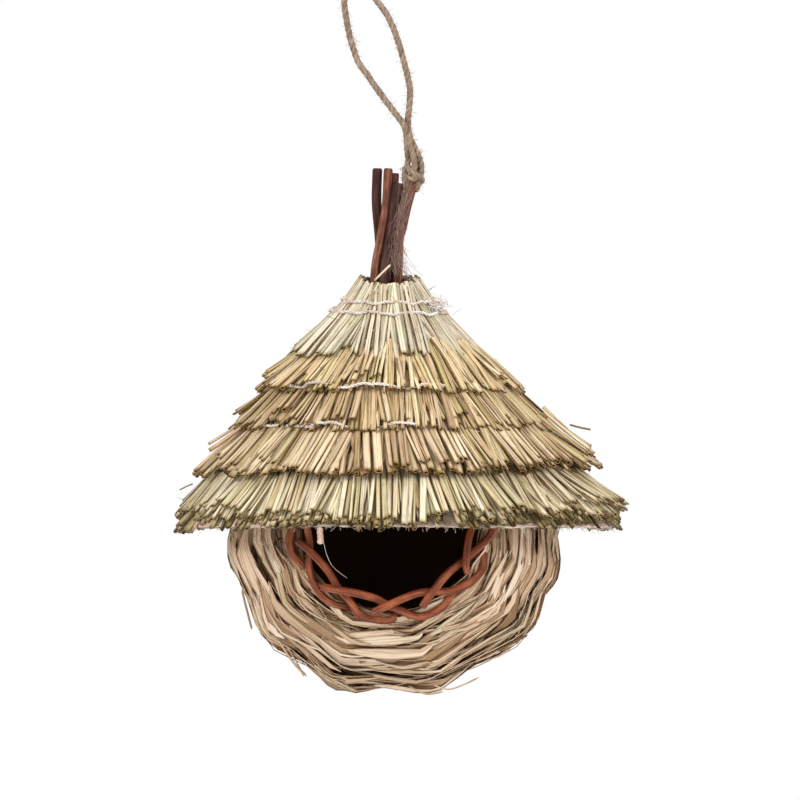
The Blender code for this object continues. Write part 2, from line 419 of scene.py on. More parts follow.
def lumps(tree, across_mm, along_mm, detail=2.0, rough=0.5, offset=0.0, place=None):
    """Noise whose lumps are so many millimetres across and along the piece's own grain."""
    if place is None:
        grain = add_node(tree, "Attribute", {"attribute_name": "grain"})
        place = grain.outputs["Vector"]
    steps = add_node(tree, "Mapping", {}, {
        "Vector": place, "Scale": (1000 / across_mm, 1000 / across_mm, 1000 / along_mm),
        "Location": (offset, offset, 0.0)})
    return add_node(tree, "TexNoise", {}, {
        "Vector": steps.outputs[0], "Scale": 1.0, "Detail": detail,
        "Roughness": rough}).outputs["Fac"]


def stain(tree, base, pattern, stops, strength=1.0):
    """Darken a colour with the stops, where the pattern picks them."""
    shade = add_node(tree, "ValToRGB", {}, {"Fac": pattern}, stops).outputs["Color"]
    return add_node(tree, "Mix", {"data_type": "RGBA", "blend_type": "MULTIPLY"},
                    {0: strength, 6: base, 7: shade}).outputs[2]


def spot(tree, base, code, pattern, stops):
    """Lay another colour over the base, as much as the stops that the pattern picks."""
    share = add_node(tree, "ValToRGB", {}, {"Fac": pattern}, stops).outputs["Color"]
    return add_node(tree, "Mix", {"data_type": "RGBA"},
                    {0: share, 6: base, 7: colour(code)}).outputs[2]


def tone_of(tree, tones, tints):
    """A tone for each copy from its own number, and a tint for it from a random one."""
    tone = add_node(tree, "Attribute", {"attribute_name": "tone"}).outputs["Fac"]
    other = add_node(tree, "TexWhiteNoise", {"noise_dimensions": "1D"}, {"W": tone})
    base = add_node(tree, "ValToRGB", {}, {"Fac": tone}, tones).outputs["Color"]
    return stain(tree, base, other.outputs["Value"], tints)


def edge_of(tree):
    """0 along the middle of a strip or straw and 1 at its two edges."""
    side = add_node(tree, "Attribute", {"attribute_name": "side"}).outputs["Fac"]
    return add_node(tree, "Math", {"operation": "ABSOLUTE"}, {0: side}).outputs[0]


def jute_finish():
    """Fibres of about 0.15 mm run along each ply, which the noise draws."""
    finish, tree = new_finish("spun_jute")
    fibres = lumps(tree, 0.15, 3.0, 4.0, 0.7)
    base = add_node(tree, "ValToRGB", {}, {"Fac": lumps(tree, 3.0, 6.0, offset=5.0)}, [
        (0.3, "8a7563"), (0.5, "ab9684"), (0.7, "c6b5a2")]).outputs["Color"]
    base = stain(tree, base, fibres, [(0.25, "6b5a4c"), (0.5, "d8d2ca"), (0.75, "ffffff")],
                 0.85)
    set_shader(tree, {"Base Color": base, "Roughness": 0.95, "Specular IOR Level": 0.15},
               relief=(fibres, 0.8, 0.15))
    return finish


jute = jute_finish()

print("finish:", jute.name)

# %% [markdown]
# A ply is a helix about the cord's line. Each one is a rod squashed a little towards the
# cord's middle, where its neighbours press on it, and it turns once in 6.5 mm.

# %% Wind the plies


def line_frame(line):
    """Two directions square to a line at each of its points, carried along without a twist."""
    run = unit(np.gradient(line, axis=0))
    side = np.empty_like(run)
    current = np.array([0.0, 1.0, 0.0])
    for index, direction in enumerate(run):
        current = unit(current - direction * current.dot(direction))
        side[index] = current
    return side, np.cross(run, side)


def plies_along(line, diameter, plies, turn_mm):
    """The lines of twisted plies, and the directions that point out of the cord."""
    side, other = line_frame(line)
    far = np.linspace(0.0, line_length(line), len(line))
    out_by = diameter / 2 * (0.52 if plies > 2 else 0.5)
    lines, outs = [], []
    for ply in range(plies):
        turn = far / (turn_mm * MM) * math.tau + math.tau * ply / plies
        out = side * np.cos(turn)[:, None] + other * np.sin(turn)[:, None]
        lines.append(line + out * out_by)
        outs.append(out)
    return np.array(lines), np.array(outs)


JUTE_PLIES = 3
PLY_TURN_MM = 6.5
ply_form = take_form(add_rod(8, CORD_STEPS))
ply_lines, ply_outs = plies_along(cord_line, CORD_DIAMETER, JUTE_PLIES, PLY_TURN_MM)
hang_cord = sweep("hanging_cord", ply_form, ply_lines, ply_outs, 0.29 * CORD_DIAMETER,
                  0.25 * CORD_DIAMETER, [jute])
settle(hang_cord, "jute", "hang_cord")
print(len(ply_lines), "plies are wound")

# %% [markdown]
# ## The straw
#
# The roof is thatched with stems of wheat straw cut to length. A dry stem is a thin hollow
# tube, so a cut end shows a pale rim round a dark hole. One straw is modelled: a rod whose
# two ends are inset to make the rim and pushed in a little to make the hole, whose walls and
# floor are painted dark as the shade deeper in the stem. It has seven sides, which is enough
# for a stem 2 mm thick, and keeps nearly four thousand of them light.

# %% Model one straw
STRAW_HOLE = 0.6
HOLE_DEPTH = 0.05


def add_straw(sides, rings):
    """A rod with a rim and a hole at both ends."""
    straw = add_rod(sides, rings)
    for end in (-1, 1):
        begin_edit(straw, lambda middle, normal: normal.z * end > 0.9)
        bpy.ops.mesh.inset(thickness=1 - STRAW_HOLE, use_even_offset=False)
        bpy.ops.mesh.extrude_region_move(
            TRANSFORM_OT_translate={"value": (0.0, 0.0, -end * HOLE_DEPTH)})
    bpy.ops.object.mode_set(mode="OBJECT")
    return straw


def in_hole(middle):
    """True for the walls and floor of the holes, which are close to the axis."""
    near = math.hypot(middle[0], middle[1]) < STRAW_HOLE * 0.99
    return near and not (0.5 - abs(middle[2] - 0.5) < 0.001 and math.hypot(
        middle[0], middle[1]) > 0.1)


straw_form = take_form(add_straw(7, 4), in_hole)
print("a straw has", len(straw_form["starts"]), "faces")

# %% [markdown]
# Straw skin is smooth and slightly waxy, so it has a soft shine. It grows in long fibres,
# which show as fine streaks, and it dries unevenly: some stems stay greenish, others go
# golden, pinkish or grey, and weathered spots are brown. Each tier was cut from its own
# bundle, so every tier has its own range of tones.

# %% Straw finishes


def straw_finish(name, tones, tints):
    """Dry straw: a tone and a tint for each stem, ribs, spots, a dark tip, and painted shade
    along its sides.
    """
    finish, tree = new_finish(name)
    base = tone_of(tree, list(zip((0.0, 0.14, 0.34, 0.6, 0.9), tones)),
                   list(zip((0.1, 0.35, 0.6, 0.85), tints)))
    ribs = lumps(tree, 0.5, 22.0, 3.0, 0.7)
    base = stain(tree, base, ribs, [(0.32, "7a623a"), (0.42, "d6cbb6"), (0.52, "ffffff")])
    base = spot(tree, base, "8a6e50", lumps(tree, 2.0, 7.0, 4.0, 0.65, 40.0),
                [(0.56, "000000"), (0.7, "b0b0b0")])
    reach = add_node(tree, "Attribute", {"attribute_name": "reach"}).outputs["Fac"]
    base = stain(tree, base, reach, [(0.95, "ffffff"), (1.0, "b9a987")])
    # Painted shade: each straw is darkened towards its two sides, as if its neighbours shaded
    # it.
    base = stain(tree, base, edge_of(tree), [(0.6, "ffffff"), (0.98, "80683f")])
    set_shader(tree, {"Base Color": base, "Roughness": 0.52, "Specular IOR Level": 0.35},
               relief=(ribs, 0.9, 0.25))
    return finish


def plain_finish(name, code, roughness):
    """Something matt with a little unevenness in its colour."""
    finish, tree = new_finish(name)
    grit = lumps(tree, 0.8, 1.5, 3.0)
    base = stain(tree, colour(code), grit, [(0.3, "8c8c8c"), (0.7, "ffffff")])
    set_shader(tree, {"Base Color": base, "Roughness": roughness, "Specular IOR Level": 0.2},
               relief=(grit, 0.5, 0.2))
    return finish


# Painted shade: the walls and floor of the shallow holes are dark brown, for the shade deeper
# in the stem.
straw_hole_shade = plain_finish("straw_hole_painted_shade", "6b5236", 0.9)
PALE_TINTS = ("e6e8d8", "ffffff", "faf0e4", "e2ded8")
WARM_TINTS = ("e8e6c8", "fffcf4", "f8e8dc", "e6dcd6")
straw_finishes = [
    straw_finish("bleached_wheat_straw",
                 ("74674c", "bcb39a", "dfd7c3", "ebe3d2", "f5eede"), PALE_TINTS),
    straw_finish("golden_wheat_straw",
                 ("64502c", "beac82", "e0cfa4", "eeddb6", "f6e9ca"), WARM_TINTS),
    straw_finish("brown_wheat_straw",
                 ("5a4528", "b09a76", "d2bd98", "e4d1ae", "f0e0c2"), WARM_TINTS),
    straw_finish("ripe_wheat_straw",
                 ("644d2f", "b9a482", "d9c5a5", "e9d8ba", "f4e6cc"), WARM_TINTS),
    straw_finish("green_wheat_straw",
                 ("665630", "bcae82", "e0d4ae", "ede2c4", "f7eed8"), PALE_TINTS),
]
print(len(straw_finishes), "straw finishes")

# %% [markdown]
# ## The thatch
#
# Five tiers of straw are stitched on from the eave upwards, and each covers the stitches of
# the one below. Straws are laid a handful at a time. Inside a handful they lie parallel,
# and on a cone that leaves a narrow gap between one handful and the next towards the tips.
# The tips were cut by eye, so they wander up and down by a few millimetres.
#
# A tier is four layers of straws. The lowest has the darkest tones, and each layer above
# starts lighter: the dark tones are painted shade, which shows in the gaps. Each tier stands
# off more on one side than on the other. The top of the roof is pulled in by the stitches
# and leans a little to the left.

# %% The roof's slope
ROOF_TOP = np.array([9.8, 82.0]) * MM
ROOF_RIM = np.array([72.0, -1.0]) * MM
PULLED_AT = np.array([-5.0, 0.0, 5.0, 11.0, 20.0, 28.0, 36.0]) * MM
PULLED_IN = np.array([0.0, 1.6, 2.3, 2.3, 1.4, 0.6, 0.0]) * MM
TOP_LEANS = -2.0 * MM
LEANS_DOWN_TO = 60.0 * MM
slope_run = ROOF_RIM - ROOF_TOP
SLOPE_LENGTH = float(np.linalg.norm(slope_run))
slope_down = slope_run / SLOPE_LENGTH
slope_out = np.array([-slope_down[1], slope_down[0]])


def slope_point(turn, down, out):
    """A point on the roof: the turn about its axis, metres down the slope and out from it."""
    out = out - np.interp(down, PULLED_AT, PULLED_IN)
    radius = ROOF_TOP[0] + slope_down[0] * down + slope_out[0] * out
    height = ROOF_TOP[1] + slope_down[1] * down + slope_out[1] * out
    lean = TOP_LEANS * np.clip(1 - down / LEANS_DOWN_TO, 0.0, 1.0)
    return NEST + np.stack([radius * np.cos(turn) + lean, radius * np.sin(turn),
                            height + 0 * turn], axis=-1)


def slope_radius(down):
    return ROOF_TOP[0] + slope_down[0] * down


def slope_up(turn):
    """The direction square to the slope."""
    return np.stack([slope_out[0] * np.cos(turn), slope_out[0] * np.sin(turn),
                     slope_out[1] + 0 * turn], axis=-1)


def wander(turn, size, waves=(3, 5, 8, 13)):
    """A smooth random wave round the roof."""
    total = np.zeros_like(turn)
    for count in waves:
        total += rng.normal() * np.sin(count * turn + rng.random() * math.tau)
    return total * size / math.sqrt(len(waves) / 2)


print("the slope is", round(SLOPE_LENGTH / MM, 1), "mm long")

# %% [markdown]
# A tier's straws could be scattered over the cone by a particle system, but these need to
# lie in handfuls, pass over each other and stop at a wandering edge. So each straw's line is
# worked out from where it starts and ends on the slope, and how far it stands off there.

# %% Lay a tier
# "span" is where a tier starts and where its tips end down the slope. "low" and "high" are
# how far its lowest and highest tips stand off the slope, and "right" how much further they
# do to the right. "short" is how much shorter the highest straws are on the right and on the
# left, and "tuck" how much shorter the lowest are than the highest. "hang" and "front" are
# how far the tips hang lower at the right and in front, "wide" how wide the straws are, and
# "open" how much lower they start in front. What a tier doesn't give is 0.
TIERS = [
    {"span": (-1.7, 34.2), "low": 1.0, "high": 3.9, "right": -2.0, "front": 1.0,
     "wide": 0.9, "open": 3.4, "tuck": 3.0},
    {"span": (26.0, 48.8), "low": 2.2, "high": 6.4, "right": -2.0, "hang": -0.6,
     "front": 1.6, "wide": 1.0, "tuck": 3.0},
    {"span": (40.0, 64.6), "low": 2.6, "high": 6.2, "right": -1.0, "front": 1.6,
     "wide": 1.05, "tuck": 3.0},
    {"span": (54.0, 84.4), "low": 4.0, "high": 9.0, "right": 1.2, "short": (1.0, 0.0),
     "front": 1.6, "wide": 1.15, "tuck": 3.4},
    {"span": (75.0, 105.4), "low": 1.7, "high": 6.4, "right": 2.8, "short": (6.2, 8.2),
     "hang": 0.4, "wide": 1.1, "tuck": 2.0},
]
STRAW_STEPS = 5
# How common each kind of stem is, and how wide it is: fine stems, plain ones and split ones
# that were pressed flat.
STEM_SHARES = (0.24, 0.52, 0.24)
STEM_WIDTHS = ((0.6, 1.0), (1.2, 1.8), (1.9, 2.9))
STEM_FLATNESS = ((0.7, 1.0), (0.5, 0.95), (0.2, 0.5))


def stems(count):
    """The width of each stem, and its thickness as a share of that."""
    kind = rng.choice(3, count, p=STEM_SHARES)
    low, high = np.array(STEM_WIDTHS)[kind].T
    thin, thick = np.array(STEM_FLATNESS)[kind].T
    return rng.uniform(low, high) * MM, rng.uniform(thin, thick)


STEM_SPACE = 1.2
# How far a handful and a single straw lean out of line, how often a straw crosses the rest
# and by how much more it leans, in radians.
HANDFUL_LEAN = 0.075
STRAW_LEAN = 0.025
CROSSING_SHARE = 0.035
CROSSING_LEAN = 0.2
# How unevenly the tips are cut: the wave round the roof, a straw, a handful, and the limits.
EDGE_WAVE = 0.6 * MM
STRAW_CUT = 1.0 * MM
HANDFUL_CUT = 1.9 * MM
CUT_LIMITS = (-6.0 * MM, 2.4 * MM)
# How parallel the straws of a handful lie: at 0 they all fan out with the cone.
PARALLEL = 0.72


def handfuls(count):
    """A handful number for each straw round a layer."""
    sizes = rng.integers(3, 11, count)
    return np.repeat(np.arange(count), sizes)[:count]


def straw_layer(tier, level, share, tones):
    """One layer of a tier's straws; the level is 0 for the lowest and 1 for the highest."""
    start, tip = np.array(tier["span"]) * MM
    middle = slope_radius((start + tip) / 2)
    count = int(math.tau * middle / (STEM_SPACE * tier["wide"] * MM) * share)
    width, flatness = stems(count)
    width = width * tier["wide"]
    place = np.cumsum(width)
    turn = place / place[-1] * math.tau + rng.random() * math.tau
    group = handfuls(count)
    first_turn = np.bincount(group, turn) / np.bincount(group)
    beside = turn - first_turn[group]
    lean = rng.normal(0.0, HANDFUL_LEAN, len(first_turn))[group]
    lean = lean + rng.normal(0.0, STRAW_LEAN, count)
    crossing = rng.random(count) < CROSSING_SHARE
    lean[crossing] += rng.normal(0.0, CROSSING_LEAN, crossing.sum())
    long = wander(turn, EDGE_WAVE) + rng.normal(0.0, STRAW_CUT, count)
    long += rng.normal(0.0, HANDFUL_CUT, len(first_turn))[group]
    tips = tip + np.clip(long, *CUT_LIMITS) - (1 - level) * tier["tuck"] * MM
    on_right, on_left = np.array(tier.get("short", (0.0, 0.0))) * MM
    tips -= level * on_right * np.clip(np.cos(turn), 0.0, 1.0)
    tips -= level * on_left * np.clip(-np.cos(turn), 0.0, 1.0)
    tips += tier.get("hang", 0.0) * MM * np.cos(turn)
    tips += tier.get("front", 0.0) * MM * np.clip(-np.sin(turn), 0.0, 1.0)
    starts = start + rng.uniform(0.0, 2.4 * MM, count)
    starts += tier.get("open", 0.0) * MM * np.clip(-np.sin(turn), 0.0, 1.0)
    t = np.linspace(0.0, 1.0, STRAW_STEPS)
    down = starts[:, None] + (tips - starts)[:, None] * t
    around = slope_radius(down)
    parallel = beside[:, None] * middle / around
    sideways = lean[:, None] * (down - (start + tip) / 2) / around
    angles = (first_turn[group][:, None] + PARALLEL * parallel
              + (1 - PARALLEL) * beside[:, None] + sideways)
    high = (tier["high"] + tier["right"] * np.cos(turn)) * MM
    low = (tier["low"] + np.maximum(tier["right"], 0.0) * 0.5 * np.cos(turn)) * MM
    proud = rng.normal(0.0, 0.5 * MM, len(first_turn))[group] * level
    tip_out = (low + level * np.maximum(high - low, 0.6 * MM) + proud
               + rng.normal(0.0, 0.3 * MM, count))
    root_out = 0.5 * MM + level * 1.5 * MM + rng.normal(0.0, 0.15 * MM, count)
    sag = rng.normal(0.0, 0.25 * MM, count)
    out = (root_out[:, None] + (tip_out - root_out)[:, None] * t ** 1.25
           + sag[:, None] * np.sin(t * math.pi))
    return {"paths": slope_point(angles, down, np.maximum(out, 0.4 * MM)),
            "ups": slope_up(angles + rng.normal(0.0, 0.3, count)[:, None]),
            "widths": width / 2, "heights": width / 2 * flatness,
            "tones": tones[0] + (tones[1] - tones[0]) * rng.random(count),
            "slants": rng.normal(0.0, 0.35 * MM, count)}


def join_layers(layers):
    return {key: np.concatenate([layer[key] for layer in layers]) for key in layers[0]}


# Each layer's level, how closely its straws lie, and its range of tones. The darker tones of
# the lower layers are painted shade.
LAYERS = [(0.0, 1.0, (0.0, 0.26)), (0.35, 1.0, (0.04, 0.75)), (0.7, 0.95, (0.12, 1.0)),
          (1.0, 0.8, (0.18, 1.0))]
for number, tier in enumerate(TIERS, 1):
    straws = join_layers([straw_layer(tier, *layer) for layer in LAYERS])
    tier_piece = sweep(f"straw_tier_{number}", straw_form, straws["paths"], straws["ups"],
                       straws["widths"], straws["heights"],
                       [straw_finishes[number - 1], straw_hole_shade], straws["tones"],
                       straws["slants"])
    sharpen(tier_piece, 40)
    settle(tier_piece, "straw", f"thatch_tier_{number}")
    print("tier", number, "has", len(straws["paths"]), "straws")

# %% [markdown]
# ## Cotton lining and its frayed edge
#
# Under the straw is a cone of thin cotton cloth, cut from one sheet and stretched over the
# frame. Its edge was cut and not hemmed, so it frays into short threads along the eave, and
# it shows there as a pale line under the tips. The cone is pulled up out of one circle, ring
# by ring, then thickened, wrinkled and given an uneven edge.

# %% Cotton: a plain weave, matt and slightly pink
CLOTH_THREAD = 0.45
CLOTH_STAIN = 1000 / 90


def cotton_finish(name, code):
    """Cotton threads cross at about 0.45 mm, and the cloth is a little stained."""
    finish, tree = new_finish(name)
    place = add_node(tree, "TexCoord").outputs["Object"]
    stains = lumps(tree, CLOTH_STAIN, CLOTH_STAIN, 4.0, 0.6, place=place)
    threads = lumps(tree, CLOTH_THREAD, CLOTH_THREAD, 2.0, 0.6, place=place)
    base = stain(tree, colour(code), stains, [(0.35, "d6c3b4"), (0.6, "ffffff")])
    base = stain(tree, base, threads, [(0.35, "c9beb4"), (0.6, "ffffff")], 0.7)
    set_shader(tree, {"Base Color": base, "Roughness": 0.95, "Specular IOR Level": 0.1,
                      "Sheen Weight": 0.15}, relief=(threads, 0.7, 0.15))
    return finish


cotton = cotton_finish("unbleached_cotton_cloth", "f0e0d4")

print("finish:", cotton.name)

# %% [markdown]
# The cone could be a primitive, but one extruded ring by ring follows the roof's pulled-in
# slope. It has enough vertices for the wrinkles to move.

# %% Pull the cone up from the eave
CLOTH_RINGS = 12
CLOTH_SIDES = 192
CLOTH_THICKNESS = 0.5 * MM
EAVE_DROP = -0.3 * MM
slope_end = SLOPE_LENGTH + EAVE_DROP

bpy.ops.object.select_all(action="DESELECT")
steps = [slope_point(np.array(0.0), down, 0.0)
         for down in np.linspace(slope_end, 2 * MM, CLOTH_RINGS)]
radii = [float(step[0] - NEST[0]) for step in steps]
bpy.ops.mesh.primitive_circle_add(vertices=CLOTH_SIDES, radius=radii[0],
                                  location=(NEST[0], NEST[1], steps[0][2]))
cloth = bpy.context.object
cloth.name = "cotton_lining"
bpy.ops.object.transform_apply(location=True, rotation=False, scale=False)
bpy.ops.object.mode_set(mode="EDIT")
bpy.ops.mesh.select_mode(type="EDGE")
bpy.ops.mesh.select_all(action="SELECT")
for below, above, small, big in zip(steps, steps[1:], radii[1:], radii):
    bpy.ops.mesh.extrude_region_move(
        TRANSFORM_OT_translate={"value": (0.0, 0.0, float(above[2] - below[2]))})
    bpy.ops.transform.resize(value=(small / big, small / big, 1.0),
                             center_override=(NEST[0], NEST[1], float(above[2])))
bpy.ops.mesh.select_all(action="SELECT")
bpy.ops.mesh.normals_make_consistent(inside=False)
bpy.ops.object.mode_set(mode="OBJECT")
wrinkles = bpy.data.textures.new("wrinkles", "CLOUDS")
wrinkles.noise_scale = 0.012
crease = cloth.modifiers.new("wrinkles", "DISPLACE")
crease.texture = wrinkles
crease.texture_coords = "LOCAL"
crease.strength = 1.2 * MM
crease.mid_level = 0.7
bpy.ops.object.modifier_apply(modifier="wrinkles")
thick = cloth.modifiers.new("thickness", "SOLIDIFY")
thick.thickness = CLOTH_THICKNESS
thick.offset = -1.0
bpy.ops.object.modifier_apply(modifier="thickness")

print("the lining has", len(cloth.data.polygons), "faces")

# %% [markdown]
# The cut edge is made uneven by moving its vertices at random. The threads that come loose
# are laid one by one along it. Most are short, and a few are several times as long.

# %% Fray the edge


def select_points(obj, wanted):
    """Go into edit mode with only the vertices that pass the test selected."""
    bpy.ops.object.mode_set(mode="OBJECT")
    for part in (obj.data.vertices, obj.data.edges, obj.data.polygons):
        part.foreach_set("select", [False] * len(part))
    for point in obj.data.vertices:
        point.select = wanted(point.co)
    bpy.ops.object.mode_set(mode="EDIT")
    bpy.ops.mesh.select_mode(type="VERT")


edge_height = float(steps[0][2]) + 1.2 * MM
select_points(cloth, lambda spot: spot.z < edge_height)
bpy.ops.transform.vertex_random(offset=0.5 * MM, seed=3)
bpy.ops.object.mode_set(mode="OBJECT")
cloth.data.materials.append(cotton)
sharpen(cloth, 60)

FRAYED = 1800
FRAY_STEPS = 5
turns = rng.random(FRAYED) * math.tau
drops = np.linspace(-0.6, 1.0, FRAY_STEPS) * rng.gamma(2.0, 0.42, FRAYED)[:, None] * MM
drift = rng.normal(0.0, 1.1 * MM, FRAYED)[:, None] * np.linspace(0.0, 1.0, FRAY_STEPS) ** 2
edge = slope_point(turns[:, None] + drift / ROOF_RIM[0], slope_end + drops,
                   rng.normal(-0.3 * MM, 0.25 * MM, FRAYED)[:, None] + 0 * drops)
edge[..., 2] += 1.0 * MM
thread_form = take_form(add_rod(5, FRAY_STEPS - 1))
fray = sweep("frayed_threads", thread_form, edge, slope_up(turns)[:, None, :],
             rng.uniform(0.04, 0.09, FRAYED) * MM, rng.uniform(0.04, 0.08, FRAYED) * MM,
             [cotton])
settle(cloth, "lining_cloth", "roof_lining")
settle(fray, "lining_cloth")

# %% [markdown]
# ## The woven globe
#
# The globe is basket work. Thin stakes run from the mouth back to the far pole, and flat
# strips of dry leaf are woven round them, over one stake and under the next. A strip lies
# flat and wide where it passes over a stake, and it is pinched and twisted where it dives
# under its neighbours. So what shows is a lot of long pointed leaf shapes that slant across
# each other, with dark gaps at their points. Each strip is laid on its own, and no two are
# alike: they end and start anywhere, and slant by turns to one side and to the other. Fine
# torn strips lie between the wide ones.

# %% Places on the globe
MOUTH_TILT = math.radians(2.4)
GLOBE_DEPTH = 52.1 * MM
MOUTH_RADIUS = 33.0 * MM
# The turns of the stakes round the mouth, in degrees from straight down. Their number is odd,
# so that a row passes outside the stakes that the row before passed inside. The globe is a
# little out of round, so each stake has its own distance from the mouth's axis.
STAKE_TURNS = np.radians([-80, -50, -20, 13, 50, 73, 103, 138, 173, 208, 244])
STAKE_RADII = np.array([56.2, 57, 57, 55.6, 57, 55.8, 56.4, 56, 56, 56, 56]) * MM
mouth_out = np.array([0.0, -math.cos(MOUTH_TILT), math.sin(MOUTH_TILT)])
mouth_up = np.array([0.0, math.sin(MOUTH_TILT), math.cos(MOUTH_TILT)])
mouth_right = np.array([1.0, 0.0, 0.0])


def round_mouth(turn):
    """The direction away from the mouth's axis: straight down at 0, and then to the right."""
    return (np.sin(turn)[..., None] * mouth_right - np.cos(turn)[..., None] * mouth_up)


def stake_place(turn):
    """The turn counted in stakes, so that it is a whole number at each stake."""
    many = len(STAKE_TURNS)
    turns = np.concatenate([STAKE_TURNS + math.tau * lap for lap in (-1, 0, 1, 2)])
    return np.interp(turn, turns, np.arange(-many, 3 * many))


def globe_radius(turn, roundness):
    """The outline runs almost straight from stake to stake, more so the less round it is."""
    place = stake_place(turn)
    first = np.floor(place).astype(int)
    many = len(STAKE_TURNS)
    start = STAKE_TURNS[first % many] + math.tau * (first // many)
    end = STAKE_TURNS[(first + 1) % many] + math.tau * ((first + 1) // many)
    half = (end - start) / 2
    straight = np.cos(half) / np.cos(turn - start - half)
    share = place - first
    corner = (STAKE_RADII[first % many] * (1 - share)
              + STAKE_RADII[(first + 1) % many] * share)
    return corner * (1 - (1 - straight) * (1 - roundness))


def globe_point(turn, back, out, slip=0.0, roundness=0.0):
    """A point on the globe: the turn round the mouth, the angle back from it, metres out."""
    radius = (globe_radius(turn + slip, roundness) + out) * np.sin(back)
    return (NEST + radius[..., None] * round_mouth(turn)
            + ((GLOBE_DEPTH + out) * np.cos(back))[..., None] * mouth_out)


def globe_up(turn, back):
    return (np.sin(back)[..., None] * round_mouth(turn)
            + np.cos(back)[..., None] * mouth_out)


print(len(STAKE_TURNS), "stakes stand round a mouth of", round(2 * MOUTH_RADIUS / MM), "mm")

# %% [markdown]
# A leaf strip is flat and a little cupped. Its form is a rod that is squashed when it is
# laid, and its ends are narrow, because leaves split that way. The leaves are matt, with
# fine veins along them and tan, cream and pinkish patches, and their edges are darkened
# brown as painted shade.

# %% Leaf strips


def leaf_finish(name, tones, tints):
    """Dry leaf: a tone for each strip, fine veins, soft patches and painted shade at the
    edges.
    """
    finish, tree = new_finish(name)
    base = tone_of(tree, tones, tints)
    veins = lumps(tree, 0.45, 22.0, 3.0, 0.7)
    base = stain(tree, base, veins, [(0.3, "8f7048"), (0.43, "ddd0be"), (0.55, "ffffff")])
    base = spot(tree, base, "a98467", lumps(tree, 3.0, 9.0, 3.0, 0.6, 21.0),
                [(0.54, "000000"), (0.72, "808080")])
    # Painted shade: each strip's edges are darkened brown, as if its neighbours shaded it.
    base = stain(tree, base, edge_of(tree), [(0.62, "ffffff"), (0.98, "80603a")])
    set_shader(tree, {"Base Color": base, "Roughness": 0.62, "Specular IOR Level": 0.3},
               relief=(veins, 0.7, 0.2))
    return finish


LEAF_TONES = [(0.05, "735738"), (0.3, "b89c7e"), (0.55, "dac6ae"), (0.75, "ecdac6"),
              (0.95, "f6e9da")]
LEAF_TINTS = [(0.1, "f2e4d6"), (0.4, "ffffff"), (0.6, "fbf0e2"), (0.9, "e8e6d8")]
leaf = leaf_finish("dry_grass_leaf", LEAF_TONES, LEAF_TINTS)


def add_leaf(sides, rings):
    """A rod that narrows to a blunt point at both ends."""
    strip = add_rod(sides, rings)
    for end in (0.0, 1.0):
        select_points(strip, lambda spot: abs(spot.z - end) < 0.2 / rings)
        bpy.ops.transform.resize(value=(0.25, 0.6, 1.0), center_override=(0.0, 0.0, end))
    bpy.ops.object.mode_set(mode="OBJECT")
    return strip


# Hundreds of strips share this form, so it has four sides and only a few dozen faces.
LEAF_STEPS = 15
leaf_form = take_form(add_leaf(4, LEAF_STEPS - 1))
print("a leaf strip has", len(leaf_form["starts"]), "faces")

# %% [markdown]
# A row runs once round the mouth's axis and passes over and under the stakes by turns, and
# the next row does the opposite. The strips of a row follow that wave, each a little off it.
# Three layers are laid: broad strips, fine torn ones over them, and deeper ones in darker
# tones, painted shade, which close the gaps. The strips could be one plain surface with a
# bump, but then the outline would be smooth and the gaps would have no depth.

# %% Weave the rows
ROW_PITCH = 3.1 * MM
WEAVE_DEPTH = 1.2 * MM
WEAVE_MIDDLE = -1.2 * MM
MEAN_RADIUS = 56.2 * MM
row_step = ROW_PITCH / ((MEAN_RADIUS + GLOBE_DEPTH) / 2)
rows = np.arange(math.asin(MOUTH_RADIUS / MEAN_RADIUS) + 0.3 * row_step,
                 math.pi - 0.6 * row_step, row_step)


def weave_wave(turn, row):
    """1 over a stake and -1 under the next, with a corner at each."""
    phase = math.pi * (stake_place(turn) + row)
    return (np.cos(phase) + np.cos(3 * phase) / 9 + np.cos(5 * phase) / 25) / 1.15


# A row isn't even: at each stake and half-way between, it is shifted its own way.
row_shift = rng.normal(0.0, 0.8 * MM, (len(rows), 2 * len(STAKE_TURNS)))


def shift_at(row, turn):
    """A row's own shift at a turn, straight between its stops."""
    place = 2 * stake_place(turn) + 2 * len(STAKE_TURNS)
    first = np.floor(place).astype(int)
    share = place - first
    count = row_shift.shape[1]
    return (row_shift[row, first % count] * (1 - share)
            + row_shift[row, (first + 1) % count] * share)


# How often a strip slants the other way and by how much more, how far its corners slip past
# the stakes, how much it tilts and twists, and how its ends taper.
TURNED_SHARE = 0.15
TURNED_BY = -1.5
SLIP = 0.08
TILT = 0.22
TWIST = 0.3
SPLIT_WIDTH = 0.15
SPLIT_LENGTH = 0.2


